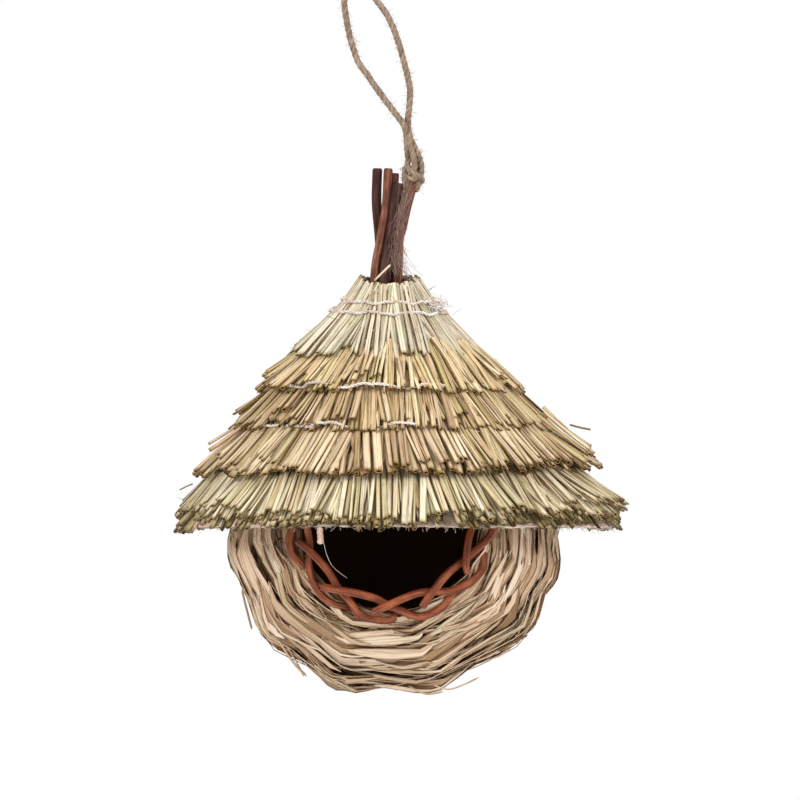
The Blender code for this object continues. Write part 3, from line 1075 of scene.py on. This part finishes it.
def weave_strips(row, starts, lengths, layer):
    """The lines, widths and twists of the strips of one row."""
    count = len(starts)
    t = np.linspace(0.0, 1.0, LEAF_STEPS)
    radius = MEAN_RADIUS * math.sin(rows[row])
    turn = starts[:, None] + (lengths / radius)[:, None] * t
    wave = weave_wave(turn + rng.normal(0.0, 0.05, count)[:, None],
                      row + (rng.random(count) < layer["skips"])[:, None])
    wave = layer["waves"] * wave
    wave = wave + (1 - layer["waves"]) * rng.uniform(-0.6, 1.0, count)[:, None]
    stray = rng.normal(0.0, layer["astray"], count)
    stray[::2] = np.abs(stray[::2])
    stray[1::2] = -np.abs(stray[1::2])
    stray[rng.random(count) < TURNED_SHARE] *= TURNED_BY
    over = (rng.normal(0.0, layer["beside"], count)[:, None] + shift_at(row, turn)
            + stray[:, None] * (t - 0.5)
            + rng.normal(0.0, 0.8 * MM, count)[:, None] * wave)
    angle = np.clip(rows[row] + over / MEAN_RADIUS, rows[0] - 0.04, math.pi - 0.01)
    high = rng.normal(layer["high"], layer["loose"], count)
    climb = rng.normal(0.0, layer["climb"], count)[:, None] * (t - 0.5)
    out = WEAVE_MIDDLE + WEAVE_DEPTH * wave + high[:, None] + climb
    slip = rng.normal(0.0, SLIP, count)[:, None]
    roundness = rng.uniform(0.0, 0.7, count)[:, None] * (0.4 + 0.6 * math.cos(rows[row]) ** 2)
    paths = globe_point(turn, angle, out, slip, roundness)
    back_run = unit(globe_point(turn, angle + 0.01, out, slip, roundness) - paths)
    tilt = rng.normal(0.0, TILT, count)[:, None]
    tilt = tilt + rng.normal(0.0, TWIST, count)[:, None] * wave
    width = rng.uniform(*layer["width"], count) * MM * min(1.0, 0.45 + 0.12 * row)
    pinch = layer["pinch"]
    split = np.clip(np.minimum(t, 1 - t) / SPLIT_LENGTH, 0.0, 1.0)
    split = SPLIT_WIDTH + (1 - SPLIT_WIDTH) * split
    return {"paths": paths, "ups": unit(globe_up(turn, angle) + tilt[..., None] * back_run),
            "widths": width[:, None] * split * (1 - pinch + pinch * ((1 + wave) / 2) ** 0.8),
            "heights": rng.uniform(0.1, 0.2, count) * MM,
            "curls": rng.normal(0.0, 60.0, count), "high": high}


def weave_layer(layer):
    """Strips for every row of a layer."""
    laid = []
    for row, back in enumerate(rows):
        round_length = math.tau * MEAN_RADIUS * math.sin(back)
        count = max(2, round(round_length / layer["long"]))
        for _ in range(layer["many"] * (2 if row < 4 else 1)):
            starts = (np.arange(count) / count * math.tau + rng.random() * math.tau
                      + rng.normal(0.0, 0.15, count))
            strips = weave_strips(row, starts,
                                  round_length / count * rng.uniform(0.9, 1.25, count), layer)
            # Painted light and shade: a strip that stands further out is given a lighter tone.
            high = np.clip(0.5 + (strips.pop("high") - layer["high"]) / (1.2 * MM), 0.0, 1.0)
            light = 0.75 * rng.random(count) + 0.25 * high
            strips["tones"] = layer["tones"][0] + (
                layer["tones"][1] - layer["tones"][0]) * light
            laid.append(strips)
    return join_layers(laid)


# How many strips a row has, how long, wide and light they are, how far they lie from the
# row's line, how far they drift, stand off and climb from one end to the other, how much they
# pinch and follow the weave, and how often one skips a stake.
WEAVE_LAYERS = {
    "woven_globe": {
        "many": 2, "long": 42 * MM, "width": (1.4, 3.3), "tones": (0.12, 0.98),
        "beside": 0.8 * MM, "astray": 4.4 * MM, "high": 0.0, "loose": 0.35 * MM,
        "climb": 1.0 * MM, "pinch": 0.64, "waves": 1.0, "skips": 0.1},
    "fine_leaf_strips": {
        "many": 1, "long": 44 * MM, "width": (0.25, 0.6), "tones": (0.15, 0.99),
        "beside": 1.2 * MM, "astray": 5.0 * MM, "high": 0.45 * MM, "loose": 0.5 * MM,
        "climb": 0.8 * MM, "pinch": 0.5, "waves": 0.9, "skips": 0.3},
    # The deeper strips' dark tones are painted shade.
    "deeper_strips": {
        "many": 2, "long": 84 * MM, "width": (1.3, 2.2), "tones": (0.02, 0.42),
        "beside": 0.9 * MM, "astray": 1.5 * MM, "high": -2.0 * MM, "loose": 0.3 * MM,
        "climb": 0.4 * MM, "pinch": 0.1, "waves": 0.4, "skips": 0.0},
}
for name, layer in WEAVE_LAYERS.items():
    laid = weave_layer(layer)
    basket = sweep(name, leaf_form, laid["paths"], laid["ups"], laid["widths"],
                   laid["heights"], [leaf], laid["tones"], curls=laid["curls"])
    sharpen(basket, 50)
    settle(basket, "grass_weave", *(["nest_basket"] if name == "woven_globe" else []))
    print(name, "has", len(laid["paths"]), "strips")

# %% [markdown]
# Near the mouth twelve husk leaves lie over the weave, most of them pale. They are wider
# than most of the strips there and arch up between their ends, so each has its own place,
# width and height, and a form with more steps than a strip's.

# %% Broad husk leaves near the mouth
# Each leaf gives its first and last turn in degrees, the rows that it starts and ends on, its
# half width, its height and its tone.
HUSKS = [
    (-56, -16, 4.2, 3.6, 3.0, 1.5, 0.26), (-44, -22, 5.4, 3.8, 1.9, 1.2, 0.34),
    (-26, 8, 2.6, 1.6, 1.8, 1.2, 0.8), (-24, 16, 3.4, 2.6, 2.8, 1.6, 0.92),
    (-20, 20, 5.0, 4.8, 3.2, 1.5, 0.86), (-34, 4, 6.2, 6.8, 2.6, 1.2, 0.62),
    (18, 50, 3.4, 2.4, 2.3, 0.9, 0.88), (26, 62, 5.6, 4.6, 2.0, 0.9, 0.8),
    (44, 76, 3.6, 2.6, 2.2, 0.9, 0.84), (-84, -56, 4.2, 3.4, 1.8, 0.8, 0.72),
    (60, 96, 6.6, 5.8, 2.0, 0.8, 0.7), (-8, 30, 8.0, 9.0, 2.2, 0.8, 0.66),
]
husks = np.array(HUSKS)
HUSK_STEPS = 29
husk_form = take_form(add_leaf(6, HUSK_STEPS - 1))
t = np.linspace(0.0, 1.0, HUSK_STEPS)
turn = np.radians(husks[:, :1] + (husks[:, 1:2] - husks[:, :1]) * t)
back = rows[0] + row_step * (husks[:, 2:3] + (husks[:, 3:4] - husks[:, 2:3]) * t)
rise = (husks[:, 5:6] * np.sin(t * math.pi) ** 0.6 - 1.2) * MM
husk_paths = globe_point(turn, back, rise)
husk_leaves = sweep("husk_leaves", husk_form, husk_paths, globe_up(turn, back),
                    husks[:, 4:5] * MM * np.sin(0.06 + t * (math.pi - 0.12)) ** 0.7, 0.16 * MM,
                    [leaf], husks[:, 6], curls=rng.normal(60.0, 50.0, len(husks)))
sharpen(husk_leaves, 50)
settle(husk_leaves, "grass_weave")
print(len(husks), "husk leaves are laid")

# %% [markdown]
# The stakes run from the mouth's edge back to the far pole, inside the weave. Behind them a
# thin wall, cut open at the mouth, stands for the inner layers of leaf, so that no light
# comes through from behind. Its dark brown is painted shade, for the gaps in the weave and
# the inside seen through the mouth. It is a sphere, squashed, cut by one plane and thickened.

# %% Stakes and the dark wall behind the weave
# Painted shade: the wall's dark brown stands for the shade in the gaps and inside the globe.
wall_finish = plain_finish("shaded_leaf_wall", "5e432a", 0.95)
STAKE_STEPS = 20
STAKE_INSET = -2.9 * MM
stake_turns, stake_back = np.meshgrid(
    STAKE_TURNS, np.linspace(rows[0], math.pi - 0.08, STAKE_STEPS), indexing="ij")
stake_form = take_form(add_rod(8, STAKE_STEPS - 1))
stakes = sweep("weaving_stakes", stake_form,
               globe_point(stake_turns, stake_back, STAKE_INSET + 0 * stake_turns),
               globe_up(stake_turns, stake_back), 0.9 * MM, 0.9 * MM, [leaf],
               np.linspace(0.02, 0.2, len(STAKE_TURNS)))
settle(stakes, "grass_weave")

WALL_INSET = 3.8 * MM
wall_radius = MEAN_RADIUS - WALL_INSET
bpy.ops.object.select_all(action="DESELECT")
bpy.ops.mesh.primitive_uv_sphere_add(segments=48, ring_count=32, radius=1.0)
wall = bpy.context.object
wall.name = "globe_wall"
wall.rotation_euler = (math.pi / 2 - MOUTH_TILT, 0.0, 0.0)
wall.scale = (wall_radius, wall_radius, GLOBE_DEPTH - WALL_INSET)
wall.location = NEST
bpy.ops.object.transform_apply(location=True, rotation=True, scale=True)
begin_edit(wall)
bpy.ops.mesh.bisect(plane_co=NEST + mouth_out * 0.74 * GLOBE_DEPTH, plane_no=mouth_out,
                    clear_outer=True)
bpy.ops.object.mode_set(mode="OBJECT")
thick = wall.modifiers.new("thickness", "SOLIDIFY")
thick.thickness = 1.0 * MM
thick.offset = -1.0
bpy.ops.object.modifier_apply(modifier="thickness")
wall.data.materials.append(wall_finish)
sharpen(wall, 60)
settle(wall, "grass_weave")
print("the wall has", len(wall.data.polygons), "faces")

# %% [markdown]
# ## Willow canes round the mouth
#
# Eleven willow canes make the border. Each starts in front of the mouth, crosses under the
# next, swings outwards, and its tail goes into the weave behind that one. Willow was chosen
# because it bends without breaking while it is wet. Its bark dries red-brown, with shallow
# grooves along it where it shrank, so the cane's form has three grooves, and it is a little
# flattened.

# %% Model a grooved cane
GROOVES = (0, 5, 11)


def add_cane(sides, rings):
    """A rod with grooves, rounded off at both cut ends."""
    cane = add_rod(sides, rings)
    for end in (0.0, 1.0):
        inner = abs(end - 0.012)
        begin_edit(cane)
        bpy.ops.mesh.bisect(plane_co=(0.0, 0.0, inner), plane_no=(0.0, 0.0, 1.0))
        select_points(cane, lambda spot: abs(spot.z - end) < 0.001)
        bpy.ops.transform.resize(value=(0.8, 0.8, 1.0), center_override=(0.0, 0.0, end))
    for groove in GROOVES:
        turn = groove / sides * math.tau

        def in_groove(spot):
            away = (math.atan2(spot.x, spot.y) - turn + math.pi) % math.tau - math.pi
            return abs(away) < 0.01

        select_points(cane, in_groove)
        bpy.ops.transform.resize(value=(0.82, 0.82, 1.0), center_override=(0.0, 0.0, 0.5))
    bpy.ops.object.mode_set(mode="OBJECT")
    return cane


CANE_STEPS = 40
cane_form = take_form(add_cane(16, CANE_STEPS - 1), lambda middle: min(
    middle[2], 1 - middle[2]) < 0.001)

print("a cane has", len(cane_form["starts"]), "faces")

# %% [markdown]
# Dried willow bark has a satin shine on its red-brown skin and darker streaks along it. Its
# cut ends are pale, matt wood. The twigs in the roof's top have duller barks of their own,
# so the finish takes its three colours, the width of its grooves and its shine.

# %% Willow bark


def bark_finish(name, dark, middle, light, groove_mm=0.5, shine=0.4):
    """Bark: long grooves and fibres, with darker patches and a satin shine."""
    finish, tree = new_finish(name)
    fibres = lumps(tree, groove_mm, 14.0, 4.0, 0.6)
    patches = lumps(tree, 2.5, 7.0, 3.0, 0.6, 9.0)
    base = add_node(tree, "ValToRGB", {}, {"Fac": patches}, [
        (0.3, dark), (0.5, middle), (0.7, light)]).outputs["Color"]
    base = stain(tree, base, fibres, [(0.34, "5c4038"), (0.47, "d8c6bc"), (0.6, "ffffff")],
                 0.9)
    set_shader(tree, {"Base Color": base, "Roughness": 0.48, "Specular IOR Level": shine},
               relief=(fibres, 0.9, 0.25))
    return finish


willow = bark_finish("willow_bark", "62290f", "8e4522", "b2683c")
cut_willow = plain_finish("cut_willow_end", "b98257", 0.8)

print("finishes:", willow.name, cut_willow.name)

# %% [markdown]
# All the canes follow one line, turned about the mouth by an eleventh of a circle each time,
# and each is bent a little out of true, as hand-bent canes are.

# %% Lay the canes
CANES = 11
CANE_DIAMETER = 2.5 * MM
BORDER_OUT = 45.3 * MM
FIRST_CANE = math.radians(-77)
# Each stop is a turn in degrees, the distance from the mouth's axis, and the distance in
# front of the border's own plane. A cane runs straight across, kinks, turns outwards, and
# goes in behind the next cane.
CANE_STOPS = np.array([(0, 32.0, 1.9), (8, 29.5, 1.9), (23, 27.3, 1.3), (34, 27.5, -0.2),
                       (42, 28.6, -1.5), (51, 30.8, -1.9), (60, 33.5, -2.1),
                       (67, 34.4, -2.6), (75, 34.0, -3.3), (84, 32.3, -4.6),
                       (91, 33.0, -6.4)])
# The border is a little flatter at the bottom than a circle.
BORDER_LIFT = 1.0


def border_line(first):
    """A cane's line, from its front end at this turn, a little out of true."""
    turn, away, front = CANE_STOPS.T
    turn = turn + rng.normal(0.0, 1.0, len(turn))
    away = away + rng.normal(0.0, 0.3, len(away))
    away = away - BORDER_LIFT * np.cos(first + np.radians(turn))
    stops = (NEST + (away * MM)[:, None] * round_mouth(first + np.radians(turn))
             + (BORDER_OUT + front * MM)[:, None] * mouth_out)
    return smooth_line(stops, CANE_STEPS)


for number in range(CANES):
    line = border_line(FIRST_CANE + number * math.tau / CANES)
    cane = sweep(f"willow_cane_{number + 1:02d}", cane_form, [line], mouth_out,
                 CANE_DIAMETER / 2 * rng.uniform(0.94, 1.08),
                 CANE_DIAMETER / 2 * rng.uniform(0.8, 0.95), [willow, cut_willow])
    sharpen(cane, 35)
    settle(cane, "willow_cane", f"border_cane_{number + 1:02d}")
print(CANES, "canes are laid")

# %% [markdown]
# ## Sticks in the roof's top
#
# Five cut sticks stand in the top of the roof and carry the loop. They are twigs of
# different kinds, so each has its own bark. Their ends were cut square with shears, and the
# pale wood shows there.

# %% Model and place the sticks
STICKS = {
    "a": (3.3, [(-5.9, 1.6, 119.4), (-6.2, 2.3, 108), (-5.4, 3.3, 98), (-4.8, 3.9, 88),
                (-4.7, 3.9, 69)], ("2a120d", "48261d", "634034"), "c9ab92"),
    "b": (3.0, [(-2.2, 0.3, 119.3), (-3.0, 0.3, 106), (-4.7, 0.3, 96), (-6.5, 0.3, 86),
                (-7.6, 0.3, 70)], ("58301f", "80503d", "a07058"), "c08a68"),
    "c": (2.5, [(0.1, 2.2, 117.8), (-1.0, 3.2, 98), (-1.6, 3.7, 70)],
          ("54291b", "784838", "966654"), "c9cda6"),
    "d": (3.9, [(1.4, -1.3, 114.3), (-0.1, -1.3, 103), (-2.9, -1.3, 86),
                (-4.4, -1.3, 71)], ("2c1612", "4c2f29", "684a42"), "d2c0ac"),
    "e": (3.7, [(7.4, 0.8, 119.2), (6.1, 0.8, 115), (3.8, 0.8, 107), (2.2, 0.8, 99.8),
                (1.0, 0.8, 94), (0.4, 0.8, 68)], ("4a2217", "783f2d", "96604a"), "a98468"),
}
for name, (diameter, route, barks, end_colour) in STICKS.items():
    line = smooth_line(np.array(route) * MM, CANE_STEPS)[::-1] + NEST
    bark = bark_finish(f"twig_bark_{name}", *barks, groove_mm=0.35, shine=0.2)
    cut = plain_finish(f"cut_wood_{name}", end_colour, 0.85)
    stick = sweep(f"twig_{name}", cane_form, [line], (0.0, -1.0, 0.0),
                  diameter / 2 * MM, diameter / 2 * 0.95 * MM, [bark, cut])
    sharpen(stick, 35)
    settle(stick, "willow_cane" if name in "be" else "bark_stick", f"stick_{name}")
print(len(STICKS), "sticks stand in the top")

# %% [markdown]
# ## The knot, the tail and loose fibres of jute
#
# Both ends of the loop are wound round the thickest end of one stick and tucked into each
# other. The strands of the knot follow listed lines. One end is left long, untwists
# and runs down between two sticks as a bundle of loose fibres that spread at its foot.
# Jute sheds: thin hairs stand off the cord all along, and they soften its outline.

# %% Tie the knot
KNOT_STRANDS = [
    [(7.4, 1.5, 121.6), (8.3, 0.9, 119.6), (8.7, -0.6, 117.4), (7.3, -2.3, 115.9),
     (4.8, -2.5, 115.9), (3.5, -0.9, 117.0), (4.0, 1.7, 118.6), (6.5, 3.2, 119.4),
     (8.5, 2.3, 118.6)],
    [(4.6, -1.0, 121.6), (4.2, -2.2, 119.7), (5.6, -3.3, 118.0), (7.8, -2.8, 116.6),
     (9.0, -0.8, 115.6), (8.3, 1.3, 114.6), (6.6, 2.0, 113.2)],
    [(4.7, -1.0, 131.0), (5.2, -2.0, 127.0), (6.2, -2.7, 123.4), (6.7, -3.0, 120.4),
     (6.3, -3.0, 117.6), (5.9, -2.2, 115.2)],
    [(5.2, 0.4, 129.0), (6.9, -0.3, 125.8), (8.3, -0.9, 122.4), (8.9, -1.1, 119.4),
     (8.2, -0.4, 116.2), (7.6, 0.0, 113.4), (7.0, 0.0, 111.6)],
    [(3.6, -1.2, 119.6), (3.3, -1.6, 117.4), (3.4, -1.9, 115.2), (3.7, -2.0, 112.6)],
]
STRAND_STEPS = 70
# Jute is pulled a little thinner in a knot, and its twist closes up.
KNOT_PULLED_TO = 0.92
KNOT_TURN_MM = 6.0
knot_plies = []
knot_outs = []
for strand in KNOT_STRANDS:
    line = smooth_line(np.array(strand) * MM, STRAND_STEPS) + NEST
    lines, outs = plies_along(line, CORD_DIAMETER * KNOT_PULLED_TO, JUTE_PLIES, KNOT_TURN_MM)
    knot_plies.append(lines)
    knot_outs.append(outs)
strand_form = take_form(add_rod(8, STRAND_STEPS - 1))
knot = sweep("jute_knot", strand_form, np.concatenate(knot_plies), np.concatenate(knot_outs),
             0.27 * CORD_DIAMETER, 0.24 * CORD_DIAMETER, [jute])
settle(knot, "jute", "cord_knot")
print("the knot has", len(KNOT_STRANDS), "strands")

# %% [markdown]
# A hair system would grow these fibres, but its hairs aren't mesh, and the tail has to
# follow a route. So the fibres are thin rods, swept along short lines of their own.

# %% Loosen the tail and raise the hairs
TAIL_ROUTE = [(4.8, -2.9, 117.0), (3.6, -3.1, 109.0), (1.8, -3.0, 101.0), (0.9, -2.8, 94.0),
              (1.0, -2.9, 88.5), (2.2, -4.0, 82.5)]
HAIR_STEPS = 9
TAIL_FIBRES = 330
hair_form = take_form(add_rod(5, HAIR_STEPS - 1))
fibre_finish = bark_finish("loose_jute_fibre", "6d4f42", "a5877a", "d8c2b4", groove_mm=0.2)


def loose_fibres(route, count, near, far):
    """Fibres that follow a route, close together at its start and spread at its end."""
    line = smooth_line(np.array(route) * MM, HAIR_STEPS * 8) + NEST
    start = rng.uniform(0.0, 0.85, count)
    end = np.clip(start + rng.uniform(0.1, 0.35, count), 0.0, 1.0)
    t = np.linspace(0.0, 1.0, HAIR_STEPS)
    place = start[:, None] + (end - start)[:, None] * t
    spots = line[(place * (len(line) - 1)).astype(int)]
    spread = near + (far - near) * place ** 4
    drift = rng.normal(size=(count, 2, 3)) * (0.8, 0.3, 0.25)
    return spots + (drift[:, :1] * (1 - t)[:, None] + drift[:, 1:] * t[:, None]) * (
        spread[..., None])


tail = sweep("untwisted_tail", hair_form,
             loose_fibres(TAIL_ROUTE, TAIL_FIBRES, 1.3 * MM, 3.4 * MM), (0.0, -1.0, 0.0),
             rng.uniform(0.02, 0.06, TAIL_FIBRES) * MM,
             rng.uniform(0.02, 0.05, TAIL_FIBRES) * MM, [fibre_finish])
settle(tail, "jute", "cord_tail")


def raised_hairs(line, count, longest, reach):
    """Short curved hairs that start on a line's surface."""
    start = rng.integers(0, len(line), count)
    run = unit(np.gradient(line, axis=0))[start]
    out = unit(np.cross(run, rng.normal(size=(count, 3))))
    lean = rng.uniform(-0.9, 0.9, count)[:, None]
    curl = rng.normal(0.0, 0.5, (count, 3))
    t = np.linspace(0.0, 1.0, HAIR_STEPS)[None, :, None]
    length = rng.uniform(0.3, 1.0, count)[:, None, None] * longest
    return (line[start] + out * reach)[:, None, :] + length * (
        (out + run * lean)[:, None, :] * t + curl[:, None, :] * t ** 2)


CORD_HAIRS = 800
KNOT_HAIRS = 420
knot_line = np.concatenate([smooth_line(np.array(s) * MM, STRAND_STEPS) + NEST
                            for s in KNOT_STRANDS])
hairs = np.concatenate([raised_hairs(cord_line, CORD_HAIRS, 1.3 * MM, CORD_DIAMETER * 0.4),
                        raised_hairs(knot_line, KNOT_HAIRS, 1.4 * MM, CORD_DIAMETER * 0.4)])
cord_hairs = sweep("jute_hairs", hair_form, hairs, (0.1, -1.0, 0.2),
                   rng.uniform(0.02, 0.05, len(hairs)) * MM, 0.03 * MM, [fibre_finish])
settle(cord_hairs, "jute")
print(TAIL_FIBRES + len(hairs), "jute fibres stand loose")

# %% [markdown]
# ## Stitches
#
# The tiers are sewn on with soft white cotton yarn. A running stitch goes in and out between
# the straws, so each row sags between the places where it is pulled in. Two rows hold the
# top tier. One more shows among the tips of the second tier, and one among the third's.

# %% Sew the rows
COTTON_YARN = 1.1 * MM
YARN_STEPS = 900
# Each row gives its tier, its place down the slope, its sag and its stitches, how far the
# straws bury it, and the stretches where they don't: turns and half lengths in degrees from
# the front. The rows hang lower in front than at the back.
ROWS = [(0, 7.8, 1.2, 9, 0.0, []), (0, 12.6, 1.5, 11, 0.0, []),
        (1, 46.8, 0.6, 15, 3.2, [(-6, 10), (-33, 6), (19, 8)]),
        (2, 62.6, 0.6, 19, 3.4, [(5, 6), (-23, 6)])]
FRONT_DROP = 2.2
yarn_finish = cotton_finish("white_cotton_yarn", "fdfaf6")
yarn_form = take_form(add_rod(6, YARN_STEPS - 1))


def thatch_top(tier, turn, down):
    """How far a tier's highest straws stand off the slope at a place."""
    start, tip = np.array(tier["span"]) * MM
    share = np.clip((down - start) / (tip - start), 0.0, 1.0) ** 1.25
    high = (tier["high"] + tier["right"] * np.cos(turn)) * MM
    return 2.0 * MM + (high - 2.0 * MM) * share + 0.6 * MM


def stitch_row(tier, down, sag, stitches, buried, bare):
    """A closed line of yarn that sags between the stitches."""
    turn = np.linspace(0.0, math.tau, YARN_STEPS)
    place = turn * stitches / 2 + wander(turn, 0.35)
    hang = np.abs(np.sin(place))
    line_down = down + (sag * hang ** 0.7 + wander(turn, 0.25, (4, 9, 17, 31))
                        - FRONT_DROP * np.sin(turn)) * MM
    deep = 1.1 * (1 - hang) ** 6 + buried
    for middle, half in bare:
        off = np.degrees(turn) - 270 - middle
        deep -= 0.8 * buried * np.exp(-(off / half) ** 4)
    out = thatch_top(TIERS[tier], turn, line_down) + (0.3 - deep) * MM
    return slope_point(turn, line_down, out)


for number, (tier, down, *row) in enumerate(ROWS, 1):
    line = stitch_row(tier, down * MM, *row)
    lines, outs = plies_along(line, COTTON_YARN, 2, 2.6)
    yarn = sweep(f"stitch_yarn_{number}", yarn_form, lines, outs, COTTON_YARN * 0.28,
                 COTTON_YARN * 0.24, [yarn_finish])
    settle(yarn, "thread", f"stitch_row_{number}")
print(len(ROWS), "rows are sewn")

# %% [markdown]
# ## Loose ends
#
# A nest made by hand sheds a little. Strips stick out of the weave, a few straws lie across
# the others, a scrap of the lining hangs at the mouth, yarn is tangled where a row ends, and
# fine hairs stand out everywhere. Each is laid like the rest, along a short line of its own.

# %% Lay the loose ends
LOOSE_STEPS = 27


def lay_loose(name, form, routes, widths, heights, finishes, slot, **more):
    """One mesh of loose pieces, each along its own route in millimetres from the nest."""
    lines = np.array([smooth_line(np.array(route, dtype=float) * MM, LOOSE_STEPS) + NEST
                      for route in routes])
    settle(sweep(name, form, lines, (0.0, -1.0, 0.15), np.array(widths) * MM,
                 np.array(heights) * MM, finishes, **more), slot)


LEAF_ENDS = [
    ([(-50.0, -20, -21), (-49.2, -18, -25), (-48.2, -15, -29.5), (-47.0, -13, -34.5)], 0.35),
    ([(-38.0, -16, -38), (-35.8, -15, -41.6), (-32.6, -14, -46), (-28.8, -13, -50.0)], 0.4),
    ([(-37.5, -14, -36), (-34.8, -13, -41), (-31.8, -12, -46), (-29.8, -11, -50.2)], 0.25),
    ([(-26.0, -18, -46), (-21.0, -16, -50), (-16.0, -14, -53), (-12.0, -12, -55.0)], 0.6),
    ([(13.0, -16, -52.6), (18.0, -15, -54.2), (23.0, -14, -52.8), (28.5, -13, -50.2)], 0.25),
    ([(5.0, -14, -53), (9.0, -13, -55.2), (12.0, -12, -55.8), (16.5, -11, -55.0)], 0.3),
    ([(33.0, -18, -42), (37.0, -17, -40.2), (40.5, -15, -38.2), (44.6, -13, -36.2)], 0.4),
    ([(27.0, -20, -45), (32.0, -19, -43.0), (36.0, -17, -40.8), (41.0, -15, -38.9)], 0.35),
]
lay_loose("loose_leaf_ends", leaf_form, [route for route, _ in LEAF_ENDS],
          [width for _, width in LEAF_ENDS], [0.13] * len(LEAF_ENDS), [leaf], "grass_weave")

LOOSE_STRAWS = [
    ([(-6.6, -6.6, 81.6), (-5.0, -6.8, 83.2), (-3.2, -7.0, 85.0), (-1.2, -7.2, 86.9)], 0.42),
    ([(58.5, -10, 33.6), (60.5, -10, 33.0), (63.0, -10, 32.4), (65.3, -10, 32.0)], 0.35),
    ([(50.0, -12, 37.5), (55.0, -12, 33.6), (60.5, -12, 29.6), (65.6, -12, 26.3)], 0.6),
    ([(50.0, -16, 37.8), (55.5, -16, 33.0), (60.5, -16, 29.0), (65.4, -16, 25.4)], 0.7),
    ([(49.5, -8, 39.6), (55.5, -8, 33.8), (61.0, -8, 28.8), (66.6, -8, 24.0)], 0.55),
    ([(48.0, -20, 36.8), (53.5, -20, 32.4), (59.0, -20, 28.2), (64.4, -20, 24.2)], 0.65),
    ([(-47.0, -12, 36.6), (-52.0, -12, 33.2), (-57.0, -12, 30.0), (-61.6, -12, 27.2)], 0.5),
    ([(-46.0, -18, 36.0), (-51.0, -18, 32.2), (-56.0, -18, 28.4), (-61.0, -18, 25.0)], 0.7),
    ([(2.2, -36.5, 55.0), (3.0, -39.0, 51.5), (3.8, -41.5, 48.0), (4.4, -44.0, 44.6)], 0.85),
    ([(6.2, -36.5, 55.4), (6.6, -39.0, 51.7), (7.0, -41.5, 48.2), (7.4, -44.0, 45.0)], 0.8),
    ([(-67.0, -8, 14.0), (-68.6, -8, 13.4), (-70.2, -8, 12.6), (-71.4, -8, 12.0)], 0.25),
]
lay_loose("loose_straws", straw_form, [route for route, _ in LOOSE_STRAWS],
          [width for _, width in LOOSE_STRAWS], [width * 0.7 for _, width in LOOSE_STRAWS],
          [straw_finishes[3], straw_hole_shade], "straw",
          tones=[0.72, 0.06, 0.5, 0.7, 0.42, 0.3, 0.55, 0.36, 0.5, 0.62, 0.1])

CLOTH_SCRAP = [(-21.8, -71.0, -0.6), (-21.9, -71.2, -2.4), (-21.7, -71.3, -4.4),
               (-22.0, -71.2, -6.2)]
lay_loose("cloth_scrap", leaf_form, [CLOTH_SCRAP], [1.0], [0.15], [cotton], "lining_cloth")

# One thread hangs at the mouth. The rest are a tangle where the upper stitches end.
YARN_ENDS = [
    [(-21.2, -70.8, -3.0), (-20.0, -68.0, -9.0), (-18.0, -64.0, -13.5), (-13.6, -60.0, -17.2)],
]
TANGLE = (14.6, -11.0, 73.4)
TANGLE_THREADS = 34
YARN_ENDS += [(TANGLE + rng.normal(0.0, (1.9, 1.2, 1.2), (5, 3))).tolist()
              for _ in range(TANGLE_THREADS)]
yarn_widths = [0.07] + [0.1] * TANGLE_THREADS
lay_loose("yarn_ends", hair_form, YARN_ENDS, yarn_widths, yarn_widths, [yarn_finish],
          "thread")

print("loose pieces:", len(LEAF_ENDS) + len(LOOSE_STRAWS) + len(YARN_ENDS) + 1)

# %% [markdown]
# Dry grass splinters, and the finest splinters stand off the roof and the globe as hairs.
# They are few and short, and they break up the clean outline.

# %% Fine hairs over the roof and the globe
ROOF_HAIRS = 130
GLOBE_HAIRS = 80


def fine_hairs(points, ups, longest):
    """Short thin hairs that stand off a surface at these points."""
    count = len(points)
    lean = rng.normal(0.0, 0.8, (count, 3))
    curl = rng.normal(0.0, 0.4, (count, 3))
    t = np.linspace(0.0, 1.0, HAIR_STEPS)[None, :, None]
    length = (rng.uniform(0.3, 1.0, count) * longest)[:, None, None]
    return points[:, None, :] + length * ((ups * 0.5 + lean)[:, None, :] * t
                                          + curl[:, None, :] * t ** 2)


turns = rng.random(ROOF_HAIRS) * math.tau
downs = rng.uniform(4.0, 101.0, ROOF_HAIRS) * MM
roof_hairs = fine_hairs(slope_point(turns, downs, 4.2 * MM), slope_up(turns), 2.6 * MM)
turns = rng.random(GLOBE_HAIRS) * math.tau
backs = np.arccos(rng.uniform(-0.95, math.cos(rows[1]), GLOBE_HAIRS))
globe_hairs = fine_hairs(globe_point(turns, backs, 0.0 * turns), globe_up(turns, backs),
                         2.6 * MM)
hairs = np.concatenate([roof_hairs, globe_hairs])
fluff = sweep("plant_hairs", hair_form, hairs, (0.1, -1.0, 0.2),
              rng.uniform(0.04, 0.11, len(hairs)) * MM, 0.04 * MM, [leaf])
settle(fluff, "straw")
print(len(hairs), "hairs stand off the roof and the globe")
